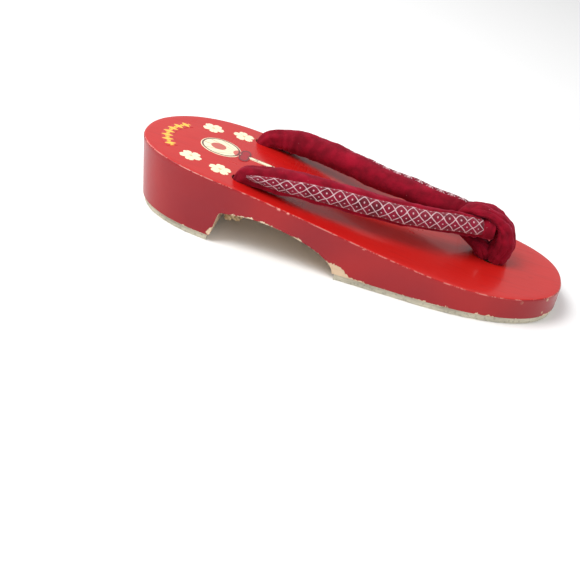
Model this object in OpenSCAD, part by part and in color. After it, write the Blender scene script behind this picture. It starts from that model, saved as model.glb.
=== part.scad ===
// Red-lacquered wooden clog (geta): one carved block, rubber soles and a padded V-shaped thong.
// The toe points along +X, +Z is up, and the origin is on the ground under the middle of the length.

/* [Wooden block] */
// Length of the deck
clog_len = 200; // [180:5:240]
// Width of the deck across the heel
heel_w = 76; // [70:1:90]
// Width of the deck across the ball of the foot
ball_w = 82; // [72:1:94]
// Length of the rounded heel end
heel_round = 50; // [40:1:60]
// Length of the rounded toe end
toe_round = 62; // [50:1:75]
// Height of the deck at the heel, above the ground
heel_h = 30; // [28:0.5:40]
// Height of the deck at the toe, above the ground
toe_h = 12.5; // [11.5:0.5:18]
// Slope of the heel's back wall from upright, in degrees
heel_rake = 9; // [0:1:12]
// Distance from the heel to the front face of the heel block
heel_block_len = 44; // [36:1:50]
// Distance from the heel to the back edge of the front block
front_block_start = 100; // [88:1:108]
// Thickness of the wood over the highest point of the arch
waist_t = 10; // [8:0.5:12]

/* [Outsoles] */
// Thickness of the rubber sheets
sole_t = 3; // [2:0.25:4]
// How far the rubber stays inside the wood's edge
sole_inset = 0.8; // [0:0.1:2]
// Radius of a tack's head
tack_head_r = 2; // [1.5:0.1:2.5]
// Length of a tack
tack_len = 6; // [5:0.5:7]

/* [Cord holes] */
// Distance from the heel to the two rear holes
rear_hole_x = 50.5; // [48:0.5:54]
// Distance from the middle line to each rear hole
rear_hole_y = 25.5; // [22:0.5:28]
// Distance from the heel to the front hole
front_hole_x = 166; // [160:1:170]
// Radius of the holes
hole_r = 4; // [3.5:0.1:4.5]
// Radius of the knot recess under the front block
recess_r = 10; // [9:0.5:11]
// Thickness of the wood left over the knot recess
recess_roof = 3.5; // [3:0.25:5]

/* [Thong] */
// Width of a strap
strap_w = 15; // [12:0.5:17]
// Thickness of a strap
strap_t = 11; // [9:0.5:12]
// Thickness of the velvet with its lining
cover_t = 1; // [0.8:0.1:1.4]
// Thickness of the patterned band
band_t = 0.6; // [0.4:0.1:1]
// Radius of the cords
cord_r = 2; // [1.5:0.1:2.5]
// Clearance between pieces of the thong
thong_gap = 0.05; // [0.02:0.01:0.1]
// Radius of a knot
knot_r = 5; // [4.5:0.1:6]

/* [Stickers] */
// Thickness of a sticker
sticker_t = 0.15; // [0.1:0.05:0.3]
// Radius of a blossom
blossom_r = 5; // [4:0.5:6]
// Radius of the round fan
fan_r = 9.5; // [8:0.5:11]

/* [Hidden] */

// Shape of the plan outline's ends: 2 is an ellipse, and more is squarer
heel_power = 2.2;
toe_power = 2.35;
arch_power = 1.8;
// Where the deck starts to fall from the heel's height, and where it reaches the toe's
fall_start = 8;
fall_end = 182;
outline_steps = 40;
profile_steps = 36;
arch_steps = 14;

// Reach of the patterned band: shares of the strap's route, and at those shares the angles around its
// section where the band starts and ends
band_rear = 0.14;
band_front = 0.92;
band_low = [[0.14, 8], [0.22, -18], [0.34, -28]];
band_high = [[0.14, 22], [0.3, 42], [0.5, 62], [0.75, 84], [1, 88]];
// Half the strap's width and thickness where the front thong squeezes it
tip_half = 4.2;
// Points of a strap's middle line: distance from the heel, from the middle line, and above the deck
strap_route = [[rear_hole_x, rear_hole_y, 0], [54.5, 26, 3.4], [64, 26.4, 5.9], [82, 23.8, 8.4],
    [106, 18.4, 10.2], [130, 13, 12], [148, 8.4, 13.8], [163, tip_half + 0.2, 14.4]];
// Half the distance between the front thong's two legs in their hole
leg_offset = 2.1;
// Points of the front thong's middle line, in the middle plane: from the heel, and above the deck
loop_route = [[front_hole_x - leg_offset, 0.2], [160.5, 3.6], [154, 5.6], [146.5, 8], [144, 14],
    [147.5, 19], [154, 21], [161.5, 20.9], [168.6, 15], [170.2, 8], [169.6, 3.6],
    [front_hole_x + leg_offset, 0.2]];
strap_sides = 14;
strap_rings = 30;
cord_sides = 8;
cord_rings = 30;
band_steps = 8;
band_rings = 26;
loop_sides = 12;
loop_rings = 55;
// The front thong's half width and half thickness at shares of its route: two full folds where its legs
// come down on the deck, thin in the crotch of the straps, and wide over them
loop_wide = [[0, 3], [0.06, 6.5], [0.1, 7.5], [0.18, 6], [0.27, 2], [0.4, 2], [0.5, 6.5], [0.55, 7.4],
    [0.73, 7.2], [0.82, 8.4], [0.91, 8.6], [0.96, 7.2], [1, 3]];
loop_thick = [[0, 1.6], [0.03, 1.7], [0.06, 2.7], [0.1, 3], [0.18, 2.2], [0.27, 2], [0.5, 1.8], [0.64, 1.8],
    [0.73, 4], [0.82, 4.8], [0.91, 4.8], [0.96, 3.8], [1, 1.8]];
loop_cord_r = 1.1;
taper_len = 16;
// Play between a rear knot and the hole's edge, and the cord's end below that knot
knot_gap = 0.15;
cord_tail = 2;
// Height of the front cord's ends above the knot's lower face, and of its bends above the recess
leg_play = 0.3;
lift = 0.15;

heel_half = heel_w / 2;
ball_half = ball_w / 2;
waist_x = front_block_start - 40;
arch_top = deck_z(waist_x) - waist_t;
wood_bottom = sole_t;
heel_face_top = heel_block_len + 2;
// How much lower the arch is at the heel block's face than at its highest point
arch_drop = 1.5;
cap_r = recess_r + 3;
cap_t = 0.6;
far_off = 400;

function clamp(v, low, high) = min(max(v, low), high);
function unit(v) = v / norm(v);

// Height of the deck's surface at a distance from the heel
function deck_z(x) = toe_h + (heel_h - toe_h)
    * (1 + cos(180 * clamp((x - fall_start) / (fall_end - fall_start), 0, 1))) / 2;

// Half the deck's width at a distance from the heel
function side_half(x) = heel_half + (ball_half - heel_half)
    * clamp((x - heel_round) / (clog_len - heel_round - toe_round), 0, 1);
function end_share(distance, round_len, power) = distance >= round_len ? 1
    : pow(1 - pow((round_len - distance) / round_len, power), 1 / power);
function half_w(x) = side_half(x) * end_share(x, heel_round, heel_power)
    * end_share(clog_len - x, toe_round, toe_power);

// Distances from the heel for the outline, closer together where it curves more
stations = [for (i = [0 : outline_steps]) clog_len * (1 - cos(180 * i / outline_steps)) / 2];

// The plan outline, drawn in from the edge by a margin
module plan(margin = 0) {
    shrink = 1 - 2 * margin / clog_len;
    shrink_w = 1 - 2 * margin / ball_w;
    near_side = [for (x = stations) [x * shrink + margin, -half_w(x) * shrink_w]];
    far_side = [for (i = [outline_steps - 1 : -1 : 1])
        [stations[i] * shrink + margin, half_w(stations[i]) * shrink_w]];
    polygon(concat(near_side, far_side));
}

// A side profile, given as points of X and Z, made as wide as anything here
module across(points) {
    translate([0, far_off / 2, 0])
        rotate([90, 0, 0])
            linear_extrude(far_off) polygon(points);
}

// The deck's line, raised by a height, from the heel to the toe
function deck_line(rise) = [for (i = [0 : profile_steps])
    let (x = -2 + (clog_len + 4) * i / profile_steps) [x, deck_z(x) + rise]];

// Everything below the deck's surface raised by a height
module under_deck(rise) {
    across(concat(deck_line(rise), [[clog_len + 2, -far_off], [-2, -far_off]]));
}

// The layer between the deck's surface and a height above it
module deck_layer(thickness) {
    line_up = deck_line(thickness);
    line_low = deck_line(0);
    across(concat(line_up, [for (i = [profile_steps : -1 : 0]) line_low[i]]));
}

// The underside between the heel block and the front block: a rounded quarter down to the front block
module arch() {
    quarter = [for (i = [0 : arch_steps]) let (a = 90 * i / arch_steps)
        [waist_x + (front_block_start - waist_x) * pow(cos(a), 2 / arch_power),
        wood_bottom + (arch_top - wood_bottom) * pow(sin(a), 2 / arch_power)]];
    across(concat([[front_block_start, -1]], quarter,
        [[heel_face_top, arch_top - arch_drop], [heel_block_len, wood_bottom],
        [heel_block_len, -1]]));
}

// The outline's column, leaned at the heel so that the back wall is undercut
module walls(margin = 0) {
    intersection() {
        translate([0, 0, -1]) linear_extrude(heel_h + 2) plan(margin);
        translate([0, 0, heel_h])
            rotate([0, -heel_rake, 0])
                translate([0, 0, -far_off / 2])
                    linear_extrude(far_off) plan(margin);
    }
}

function rear_hole(side) = [rear_hole_x, side * rear_hole_y];
recess_top = deck_z(front_hole_x) - recess_roof;

// A straight tube on the Z axis
module tube_z(radius, low, high) {
    translate([0, 0, low]) cylinder(r = radius, h = high - low, $fn = 48);
}

module wood() {
    difference() {
        intersection() {
            walls();
            difference() {
                under_deck(0);
                translate([-10, -far_off / 2, -far_off]) cube([far_off, far_off, far_off + wood_bottom]);
            }
        }
        arch();
        for (side = [-1, 1])
            translate(rear_hole(side)) tube_z(hole_r, 1, heel_h + 1);
        translate([front_hole_x, 0, 0]) tube_z(hole_r, 1, heel_h + 1);
        translate([front_hole_x, 0, 0]) tube_z(recess_r, 1, recess_top);
        tack_holes(heel_tacks);
        tack_holes(front_tacks);
        tack_holes(cap_tacks);
    }
}

// Places of the tacks, as distances from the heel and from the middle line
tack_inset = 8;
rear_tack_x = 16;
rear_tack_inset = 12;
toe_tack = [14, 16];
heel_tacks = concat(
    [for (s = [-1, 1]) [rear_tack_x, s * (half_w(rear_tack_x) - rear_tack_inset)]],
    [for (s = [-1, 1]) [heel_block_len - tack_inset, s * (half_w(heel_block_len) - tack_inset)]]);
front_tacks = concat(
    [for (x = [tack_inset, 45], s = [-1, 1])
        [front_block_start + x, s * (half_w(front_block_start + x) - tack_inset)]],
    [for (s = [-1, 1]) [clog_len - toe_tack[0], s * toe_tack[1]]]);
cap_tack_ring = recess_r + 1.6;
cap_tacks = [for (a = [45 : 90 : 315]) [front_hole_x + cap_tack_ring * cos(a), cap_tack_ring * sin(a)]];
tack_r = 0.7;
head_t = 0.8;
cap_head_r = 1.2;

module tack_holes(places) {
    for (p = places)
        translate(p) tube_z(tack_r, 0, wood_bottom + tack_len);
}

// Tacks with flat round heads, sunk in the rubber: the head's top lies against what the tack holds
module tacks(places, head_radius, head_top) {
    for (p = places)
        translate(p) {
            tube_z(head_radius, head_top - head_t, head_top);
            tube_z(tack_r, head_top, wood_bottom + tack_len);
        }
}

// Rubber sheet between two distances from the heel
sink = 0.6;
sole_setback = 1.2;
module outsole(from, to, places) {
    difference() {
        intersection() {
            walls(sole_inset);
            translate([from, -far_off / 2, 0]) cube([to - from, far_off, sole_t]);
        }
        for (p = places)
            translate(p) {
                tube_z(tack_head_r, -1, sink + head_t);
                tube_z(tack_r, 0, sole_t + 1);
            }
    }
}

// Middle lines as smooth curves through hand-chosen points
function catmull(p, i, t) = let (a = p[max(i - 1, 0)], b = p[i], c = p[i + 1], d = p[min(i + 2, len(p) - 1)])
    0.5 * (2 * b + (c - a) * t + (2 * a - 5 * b + 4 * c - d) * t * t + (3 * b - a - 3 * c + d) * t * t * t);
function along(p, s) = let (k = clamp(s, 0, 0.99999) * (len(p) - 1), i = floor(k)) catmull(p, i, k - i);
function heading(p, s) = unit(along(p, s + 0.004) - along(p, s - 0.004));
function mix(a, b, t) = a + (b - a) * t;

strap_line = [for (p = strap_route) [p[0], p[1], deck_z(p[0]) + p[2]]];
loop_line = [for (p = loop_route) [p[0], 0, deck_z(p[0]) + p[1]]];

// An ellipse around a point of a line: half of its width lies along across_dir
function ring(c, t, across_dir, half_wide, half_thick, sides) =
    let (up_dir = cross(t, across_dir))
    [for (i = [0 : sides - 1]) let (a = 360 * i / sides)
        c + across_dir * half_wide * cos(a) + up_dir * half_thick * sin(a)];

// A closed solid through rings of equal numbers of points
function ring_walls(rings, sides, first) = [for (r = [0 : rings - 2], i = [0 : sides - 1])
    let (j = (i + 1) % sides, a = first + r * sides)
    each [[a + i, a + sides + j, a + j], [a + i, a + sides + i, a + sides + j]]];
module skin(rings) {
    sides = len(rings[0]);
    last = (len(rings) - 1) * sides;
    polyhedron(points = [for (r = rings) each r], faces = concat(ring_walls(len(rings), sides, 0),
        [[for (i = [0 : sides - 1]) i]], [[for (i = [sides - 1 : -1 : 0]) last + i]]));
}

// A tube with a wall: the same, with a second set of rings inside the first
module shell(outer, inner) {
    sides = len(outer[0]);
    half = len(outer) * sides;
    last = half - sides;
    inside = [for (f = ring_walls(len(inner), sides, half)) [f[2], f[1], f[0]]];
    rims = [for (i = [0 : sides - 1]) let (j = (i + 1) % sides) each [
        [i, j, half + j], [i, half + j, half + i],
        [last + i, half + last + j, last + j], [last + i, half + last + i, half + last + j]]];
    polyhedron(points = concat([for (r = outer) each r], [for (r = inner) each r]),
        faces = concat(ring_walls(len(outer), sides, 0), inside, rims));
}

module mirrored(side) {
    mirror([0, side < 0 ? 1 : 0, 0]) children();
}

// Keeps a strap's points above the deck
function above(points, rise) = [for (p = points) [p[0], p[1], max(p[2], deck_z(p[0]) + rise)]];

// The strap's half sizes: round at the hole, full in the middle, narrower where the loop squeezes the tip
hole_end_r = cord_r + cover_t + 3 * thong_gap;
function fullness(s) = sin(90 * clamp(norm(along(strap_line, s) - strap_line[0]) / taper_len, 0, 1));
function narrowing(s, from) = clamp((s - from) / (1 - from), 0, 1);
function strap_half_w(s) = mix(hole_end_r, mix(strap_w / 2, tip_half, narrowing(s, 0.7)), fullness(s));
function strap_half_t(s) = mix(hole_end_r, mix(strap_t / 2, tip_half, narrowing(s, 0.5)), fullness(s));
function strap_out(t) = unit([-t[1], t[0] + 0.001, 0]);
function strap_rings_at(grow, rise) = [for (i = [0 : strap_rings])
    let (s = i / strap_rings, t = heading(strap_line, s))
    above(ring(along(strap_line, s), t, strap_out(t), strap_half_w(s) + grow, strap_half_t(s) + grow,
        strap_sides), rise)];

module strap_cover() {
    shell(strap_rings_at(0, lift), strap_rings_at(-cover_t, lift + cover_t));
}
padding_in = cover_t + thong_gap;
module strap_padding() {
    channel = [for (i = [0 : strap_rings]) let (s = i / strap_rings, t = heading(strap_line, s))
        ring(along(strap_line, s), t, strap_out(t), cord_r + thong_gap, cord_r + thong_gap, strap_sides)];
    shell(strap_rings_at(-padding_in, lift + padding_in), channel);
}

// The cord runs down through the hole and the knot, then along the strap's middle line
knot_seat = sqrt(knot_r * knot_r - hole_r * hole_r);
arch_slope = arch_drop / (waist_x - heel_face_top);
rear_knot_z = arch_top - arch_slope * (waist_x - rear_hole_x + hole_r) - knot_seat - knot_gap;
cord_end_z = rear_knot_z - knot_r - cord_tail;
module strap_cord() {
    down = [for (z = [cord_end_z : 4 : deck_z(rear_hole_x) - 2])
        ring([rear_hole_x, rear_hole_y, z], [0, 0, 1], [0, 1, 0], cord_r, cord_r, cord_sides)];
    inside = [for (i = [1 : cord_rings]) let (s = i / cord_rings, t = heading(strap_line, s))
        ring(along(strap_line, s), t, strap_out(t), cord_r, cord_r, cord_sides)];
    skin(concat(down, inside));
}

// The band is a strip wrapped on the outer upper side of the strap
function band_arc(s, grow, angles) = let (c = along(strap_line, s), t = heading(strap_line, s),
        out = strap_out(t), up = cross(t, out))
    [for (a = angles) c + out * (strap_half_w(s) + grow) * cos(a) + up * (strap_half_t(s) + grow) * sin(a)];
module strap_band() {
    skin([for (i = [0 : band_rings])
        let (s = mix(band_rear, band_front, i / band_rings),
            angles = [for (j = [0 : band_steps])
                mix(lookup(s, band_low), lookup(s, band_high), j / band_steps)],
            back = [for (j = [band_steps : -1 : 0]) angles[j]])
        concat(band_arc(s, thong_gap + band_t, angles), band_arc(s, thong_gap, back))]);
}

module rear_knot() {
    translate([rear_hole_x, rear_hole_y, rear_knot_z])
        difference() {
            sphere(knot_r, $fn = 40);
            tube_z(cord_r + thong_gap, -2 * knot_r, 2 * knot_r);
            tube_z(knot_r + 1, knot_seat + knot_gap, knot_r + 1);
        }
}

function loop_outside() = [for (i = [0 : loop_rings]) let (s = i / loop_rings)
    above(ring(along(loop_line, s), heading(loop_line, s), [0, 1, 0],
        lookup(s, loop_wide), lookup(s, loop_thick), loop_sides), lift)];
function loop_round(radius, sides, from, to) = [for (i = [from : to]) let (s = i / loop_rings)
    ring(along(loop_line, s), heading(loop_line, s), [0, 1, 0], radius, radius, sides)];
module loop_tube() {
    shell(loop_outside(), loop_round(loop_cord_r + thong_gap, loop_sides, 0, loop_rings));
}
module loop_core() {
    leg_low = knot_z + leg_play;
    leg_high = recess_top + leg_play;
    skin(concat(
        [for (z = [leg_low, leg_high]) ring([front_hole_x - leg_offset, 0, z], [0, 0, 1], [0, 1, 0],
            loop_cord_r, loop_cord_r, cord_sides)],
        loop_round(loop_cord_r, cord_sides, 1, loop_rings - 1),
        [for (z = [leg_high, leg_low]) ring([front_hole_x + leg_offset, 0, z], [0, 0, -1], [0, 1, 0],
            loop_cord_r, loop_cord_r, cord_sides)]));
}

// The front knot: a flattened ball in the recess, on the end of the cord
knot_t = recess_top - wood_bottom - 0.6;
knot_z = recess_top - knot_t;
front_knot_r = recess_r - 2;
legs_r = leg_offset + loop_cord_r + thong_gap;
module flat_knot() {
    translate([front_hole_x, 0, recess_top - knot_t / 2])
        rotate_extrude($fn = 48) {
            translate([front_knot_r - knot_t / 2, 0]) circle(knot_t / 2, $fn = 32);
            translate([legs_r, -knot_t / 2]) square([front_knot_r - knot_t / 2 - legs_r, knot_t]);
        }
}

module front_cap() {
    difference() {
        translate([front_hole_x, 0, 0]) tube_z(cap_r, wood_bottom - cap_t, wood_bottom);
        for (p = cap_tacks)
            translate(p) tube_z(tack_r, 0, sole_t + 1);
    }
}

// Stickers follow the deck: a flat shape, cut out of a thin layer on its surface
module on_deck() {
    intersection() {
        translate([0, 0, 1]) linear_extrude(far_off) children();
        deck_layer(sticker_t);
    }
}
blossoms = [[26, -20], [40.5, -23.5], [26.5, 20.5], [41, 23.5]];
module blossom() {
    petal = blossom_r * 0.48;
    for (i = [0 : 4])
        rotate(72 * i) translate([blossom_r - petal, 0]) circle(petal, $fn = 32);
    circle(blossom_r * 0.4, $fn = 32);
}
fan_place = [35, 1];
handle_len = 17;
handle_w = 3;
bow_r = 3.2;
bow_side = 4;
module fan_shape() {
    translate(fan_place) {
        circle(fan_r, $fn = 64);
        translate([0, -handle_w / 2]) square([fan_r + handle_len, handle_w]);
        translate([fan_r + handle_len, 0]) circle(handle_w / 2, $fn = 32);
        for (s = [-1, 1])
            translate([fan_r + bow_r, s * bow_side]) circle(bow_r, $fn = 32);
    }
}
strip_centre = 33;
strip_inner = 20;
strip_w = 5.5;
strip_half_angle = 42;
module strip_shape() {
    intersection() {
        translate([strip_centre, 0])
            difference() {
                circle(strip_inner + strip_w, $fn = 96);
                circle(strip_inner, $fn = 96);
            }
        translate([strip_centre, 0])
            polygon([[0, 0], [-far_off, far_off * tan(strip_half_angle)],
                [-far_off, -far_off * tan(strip_half_angle)]]);
    }
}

// Moves from the heel's end to the middle of the length
module placed() {
    translate([-clog_len / 2, 0, 0]) children();
}

module wooden_body() {
    color("firebrick") placed() wood();
}
module heel_outsole() {
    color("darkkhaki") placed() outsole(0, heel_block_len - sole_setback, heel_tacks);
}
module front_outsole() {
    color("darkkhaki") placed()
        difference() {
            outsole(front_block_start + sole_setback, clog_len, front_tacks);
            translate([front_hole_x, 0, 0]) tube_z(cap_r + 0.8, -1, sole_t + 1);
        }
}
module heel_sole_tacks() {
    color("silver") placed() tacks(heel_tacks, tack_head_r - 0.1, sink + head_t);
}
module front_sole_tacks() {
    color("silver") placed() tacks(front_tacks, tack_head_r - 0.1, sink + head_t);
}
module left_strap_cover() {
    color("crimson") placed() mirrored(1) strap_cover();
}
module right_strap_cover() {
    color("crimson") placed() mirrored(-1) strap_cover();
}
module left_strap_band() {
    color("pink") placed() mirrored(1) strap_band();
}
module right_strap_band() {
    color("pink") placed() mirrored(-1) strap_band();
}
module left_strap_padding() {
    color("white") placed() mirrored(1) strap_padding();
}
module right_strap_padding() {
    color("white") placed() mirrored(-1) strap_padding();
}
module left_strap_cord() {
    color("burlywood") placed() mirrored(1) strap_cord();
}
module right_strap_cord() {
    color("burlywood") placed() mirrored(-1) strap_cord();
}
module left_rear_knot() {
    color("burlywood") placed() mirrored(1) rear_knot();
}
module right_rear_knot() {
    color("burlywood") placed() mirrored(-1) rear_knot();
}
module toe_loop_cover() {
    color("crimson") placed() loop_tube();
}
module toe_loop_cord() {
    color("burlywood") placed() loop_core();
}
module front_knot() {
    color("burlywood") placed() flat_knot();
}
module front_hole_cap() {
    color("silver") placed() front_cap();
}
module front_cap_tacks() {
    color("silver") placed() tacks(cap_tacks, cap_head_r, wood_bottom - cap_t);
}
module blossom_stickers() {
    color("moccasin") placed() on_deck() for (p = blossoms) translate(p) blossom();
}
module fan_sticker() {
    color("ivory") placed() on_deck() fan_shape();
}
module heel_strip_sticker() {
    color("gold") placed() on_deck() strip_shape();
}

wooden_body();
heel_outsole();
front_outsole();
heel_sole_tacks();
front_sole_tacks();
left_strap_cover();
right_strap_cover();
left_strap_band();
right_strap_band();
left_strap_padding();
right_strap_padding();
left_strap_cord();
right_strap_cord();
left_rear_knot();
right_rear_knot();
toe_loop_cover();
toe_loop_cord();
front_knot();
front_hole_cap();
front_cap_tacks();
blossom_stickers();
fan_sticker();
heel_strip_sticker();
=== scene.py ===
"""Finished look of a red-lacquered wooden clog: block, rubber soles, padded velvet thong and stickers."""
import math

import bmesh
import bpy
import numpy as np
from mathutils import Matrix, Vector, kdtree, noise


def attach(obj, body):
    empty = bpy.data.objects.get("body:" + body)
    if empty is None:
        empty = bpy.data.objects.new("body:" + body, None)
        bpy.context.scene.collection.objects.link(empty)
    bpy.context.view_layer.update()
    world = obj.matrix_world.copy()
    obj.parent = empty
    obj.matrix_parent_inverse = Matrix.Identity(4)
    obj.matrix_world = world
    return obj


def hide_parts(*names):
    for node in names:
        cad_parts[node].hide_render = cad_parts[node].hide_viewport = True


bl_info = {
    "name": "Wooden clog finish",
    "version": (1, 0, 0),
    "blender": (4, 5, 0),
    "location": "View3D > Sidebar > Clog",
    "description": "Builds the finished surfaces, cloth and stickers of a lacquered wooden clog",
    "category": "Add Mesh",
}

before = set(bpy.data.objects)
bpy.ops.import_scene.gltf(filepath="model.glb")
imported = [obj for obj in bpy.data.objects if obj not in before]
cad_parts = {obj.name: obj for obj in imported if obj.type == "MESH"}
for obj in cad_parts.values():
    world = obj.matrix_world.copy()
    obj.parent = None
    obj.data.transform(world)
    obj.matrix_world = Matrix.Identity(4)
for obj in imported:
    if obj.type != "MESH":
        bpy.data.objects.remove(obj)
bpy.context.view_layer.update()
MM = 0.001

# The block, in millimetres from the heel
LENGTH = 200.0
HEEL_HALF, BALL_HALF = 38.0, 41.0
HEEL_ROUND, TOE_ROUND = 50.0, 62.0
HEEL_POWER, TOE_POWER = 2.2, 2.35
HEEL_H, TOE_H = 30.0, 12.5
FALL_START, FALL_END = 8.0, 182.0
RAKE = math.tan(math.radians(9))
HEEL_BLOCK, HEEL_FACE_TOP, FRONT_BLOCK = 44.0, 46.0, 100.0
WAIST_X, WAIST_T, ARCH_DROP, ARCH_POWER = 60.0, 10.0, 1.5, 1.8
WOOD_BOTTOM = 3.0
HOLE_R, RECESS_R, CAP_R = 4.0, 10.0, 13.0
REAR_HOLE = (50.5, 25.5)
CORD_R = 2.0
FRONT_HOLE = 166.0
TACK_HEAD_R, TACK_SEAT, TACK_INSET, REAR_TACK_INSET = 1.9, 1.4, 8, 12
CAP_TACK_R, CAP_TACK_RING, CAP_LOW = 1.2, 11.6, 2.4
SOLE_SETBACK, CAP_CLEARANCE = 1.2, 0.8
LEAN_END = 60
MIDDLE_START, MIDDLE_END = 42, 142

# The thong, in millimetres, with angles in degrees round a strap and shares of its length
STRAP_HALF_W, STRAP_HALF_T = 7.5, 5.5
HOLE_END, TIP_HALF = 3.9, 4.3
SEAM_ANGLE, SEAM_LIFT = -112.0, 0.12
BAND_START, BAND_END = 0.13, 0.94
SWAY, SWAY_START, SWAY_LENGTH = 3.2, 105, 55
KNOT_SIZE, KNOT_TUBE, KNOT_DROP = 1.12, 1.75, 3.9

# The stickers, in millimetres from the heel
FILM_T, FILM_EDGE = 0.15, 0.05
FAN_PLACE, FAN_R = (35, 1), 9.5
STRIP_CENTRE, STRIP_R, STRIP_WIDE, STRIP_TURN = 33, 20, 5.5, 42

# The stage, in metres
FLOOR_HALF, SKY_LIGHT = 30, 0.62
CAMERA_PLACE = (0.0147, -0.4917, 0.2211)
CAMERA_AHEAD, CAMERA_UP = (-0.0594, 0.8885, -0.4550), (-0.2799, 0.4227, 0.8620)


class ClogSizes(bpy.types.PropertyGroup):
    """Sizes of the finish that a maker would change."""
    rim_round: bpy.props.FloatProperty(name="Rim rounding", description="Radius of the deck's rim",
                                       default=0.0008, min=0.0002, max=0.002, unit="LENGTH")
    sole_thickness: bpy.props.FloatProperty(name="Sole thickness", description="Thickness of the rubber",
                                            default=0.003, min=0.002, max=0.004, unit="LENGTH")
    pile_lump: bpy.props.FloatProperty(name="Padding lumps", description="Height of the padding's soft lumps",
                                       default=0.00042, min=0.0, max=0.001, unit="LENGTH")
    diamond: bpy.props.FloatProperty(name="Diamond length", description="Length of a diamond on the band",
                                     default=0.0056, min=0.003, max=0.009, unit="LENGTH")
    stitch_pitch: bpy.props.FloatProperty(name="Stitch pitch", description="Distance between seam stitches",
                                          default=0.0032, min=0.002, max=0.006, unit="LENGTH")


class ClogColours(bpy.types.PropertyGroup):
    """Colours of the finish, in linear light."""
    lacquer: bpy.props.FloatVectorProperty(name="Lacquer", description="Red lacquer of the deck",
                                           subtype="COLOR", size=3, default=(0.50, 0.008, 0.007))
    # The walls' red is the deck lacquer painted about half as bright: painted shade for walls that face away
    # from the top light.
    shaded_wall_lacquer: bpy.props.FloatVectorProperty(name="Side lacquer", description="Red lacquer of the walls",
                                                subtype="COLOR", size=3, default=(0.245, 0.005, 0.011))
    bare_wood: bpy.props.FloatVectorProperty(name="Bare wood", description="Wood under the lacquer",
                                             subtype="COLOR", size=3, default=(0.70, 0.54, 0.38))
    velvet: bpy.props.FloatVectorProperty(name="Velvet", description="Dark crimson velvet",
                                          subtype="COLOR", size=3, default=(0.25, 0.003, 0.016))
    band: bpy.props.FloatVectorProperty(name="Band", description="Ground of the patterned band",
                                        subtype="COLOR", size=3, default=(0.27, 0.005, 0.028))
    lattice: bpy.props.FloatVectorProperty(name="Lattice", description="Lines of the patterned band",
                                           subtype="COLOR", size=3, default=(0.80, 0.55, 0.58))
    rubber: bpy.props.FloatVectorProperty(name="Rubber", description="Rubber of the soles",
                                          subtype="COLOR", size=3, default=(0.47, 0.44, 0.35))
    cream: bpy.props.FloatVectorProperty(name="Cream", description="Cream of the stickers",
                                         subtype="COLOR", size=3, default=(0.90, 0.80, 0.56))
    gold: bpy.props.FloatVectorProperty(name="Yellow", description="Yellow of the heel ornament",
                                        subtype="COLOR", size=3, default=(0.92, 0.52, 0.05))


def sizes():
    return bpy.context.scene.clog_sizes


def colours():
    return bpy.context.scene.clog_colours


# ---------------------------------------------------------------- shader sums

class Wire:
    """A shader socket that takes part in Python sums: each operator adds a Math node."""

    def __init__(self, tree, socket):
        self.tree, self.socket = tree, socket

    def maths(self, operation, *others, clamp=False):
        node = self.tree.nodes.new("ShaderNodeMath")
        node.operation, node.use_clamp = operation, clamp
        for slot, value in zip(node.inputs, (self, *others)):
            plug(self.tree, slot, value)
        return Wire(self.tree, node.outputs[0])

    def turned(self, operation, other):
        node = self.tree.nodes.new("ShaderNodeMath")
        node.operation = operation
        plug(self.tree, node.inputs[0], other)
        plug(self.tree, node.inputs[1], self)
        return Wire(self.tree, node.outputs[0])

    def __add__(self, other):
        return self.maths("ADD", other)

    def __sub__(self, other):
        return self.maths("SUBTRACT", other)

    def __mul__(self, other):
        return self.maths("MULTIPLY", other)

    def __truediv__(self, other):
        return self.maths("DIVIDE", other)

    def __rsub__(self, other):
        return self.turned("SUBTRACT", other)

    __radd__, __rmul__ = __add__, __mul__

    def least(self, other):
        return self.maths("MINIMUM", other)

    def most(self, other):
        return self.maths("MAXIMUM", other)

    def size(self):
        return self.maths("ABSOLUTE")

    def power(self, other):
        return self.maths("POWER", other)

    def held(self):
        return self.maths("ADD", 0.0, clamp=True)

    def saw(self):
        """Distance to the nearest whole number, from 0 to 0.5."""
        return (self.maths("FRACT") - 0.5).size().turned("SUBTRACT", 0.5)

    def ramp(self, low, high):
        """0 below low, 1 above high, and smooth between."""
        node = self.tree.nodes.new("ShaderNodeMapRange")
        node.interpolation_type = "SMOOTHSTEP"
        plug(self.tree, node.inputs["Value"], self)
        plug(self.tree, node.inputs["From Min"], low)
        plug(self.tree, node.inputs["From Max"], high)
        return Wire(self.tree, node.outputs["Result"])

    def fall(self, low, high):
        """1 below low, 0 above high."""
        return 1.0 - self.ramp(low, high)


def plug(tree, slot, value):
    if isinstance(value, Wire):
        tree.links.new(value.socket, slot)
    elif value is not None:
        slot.default_value = value


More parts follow.
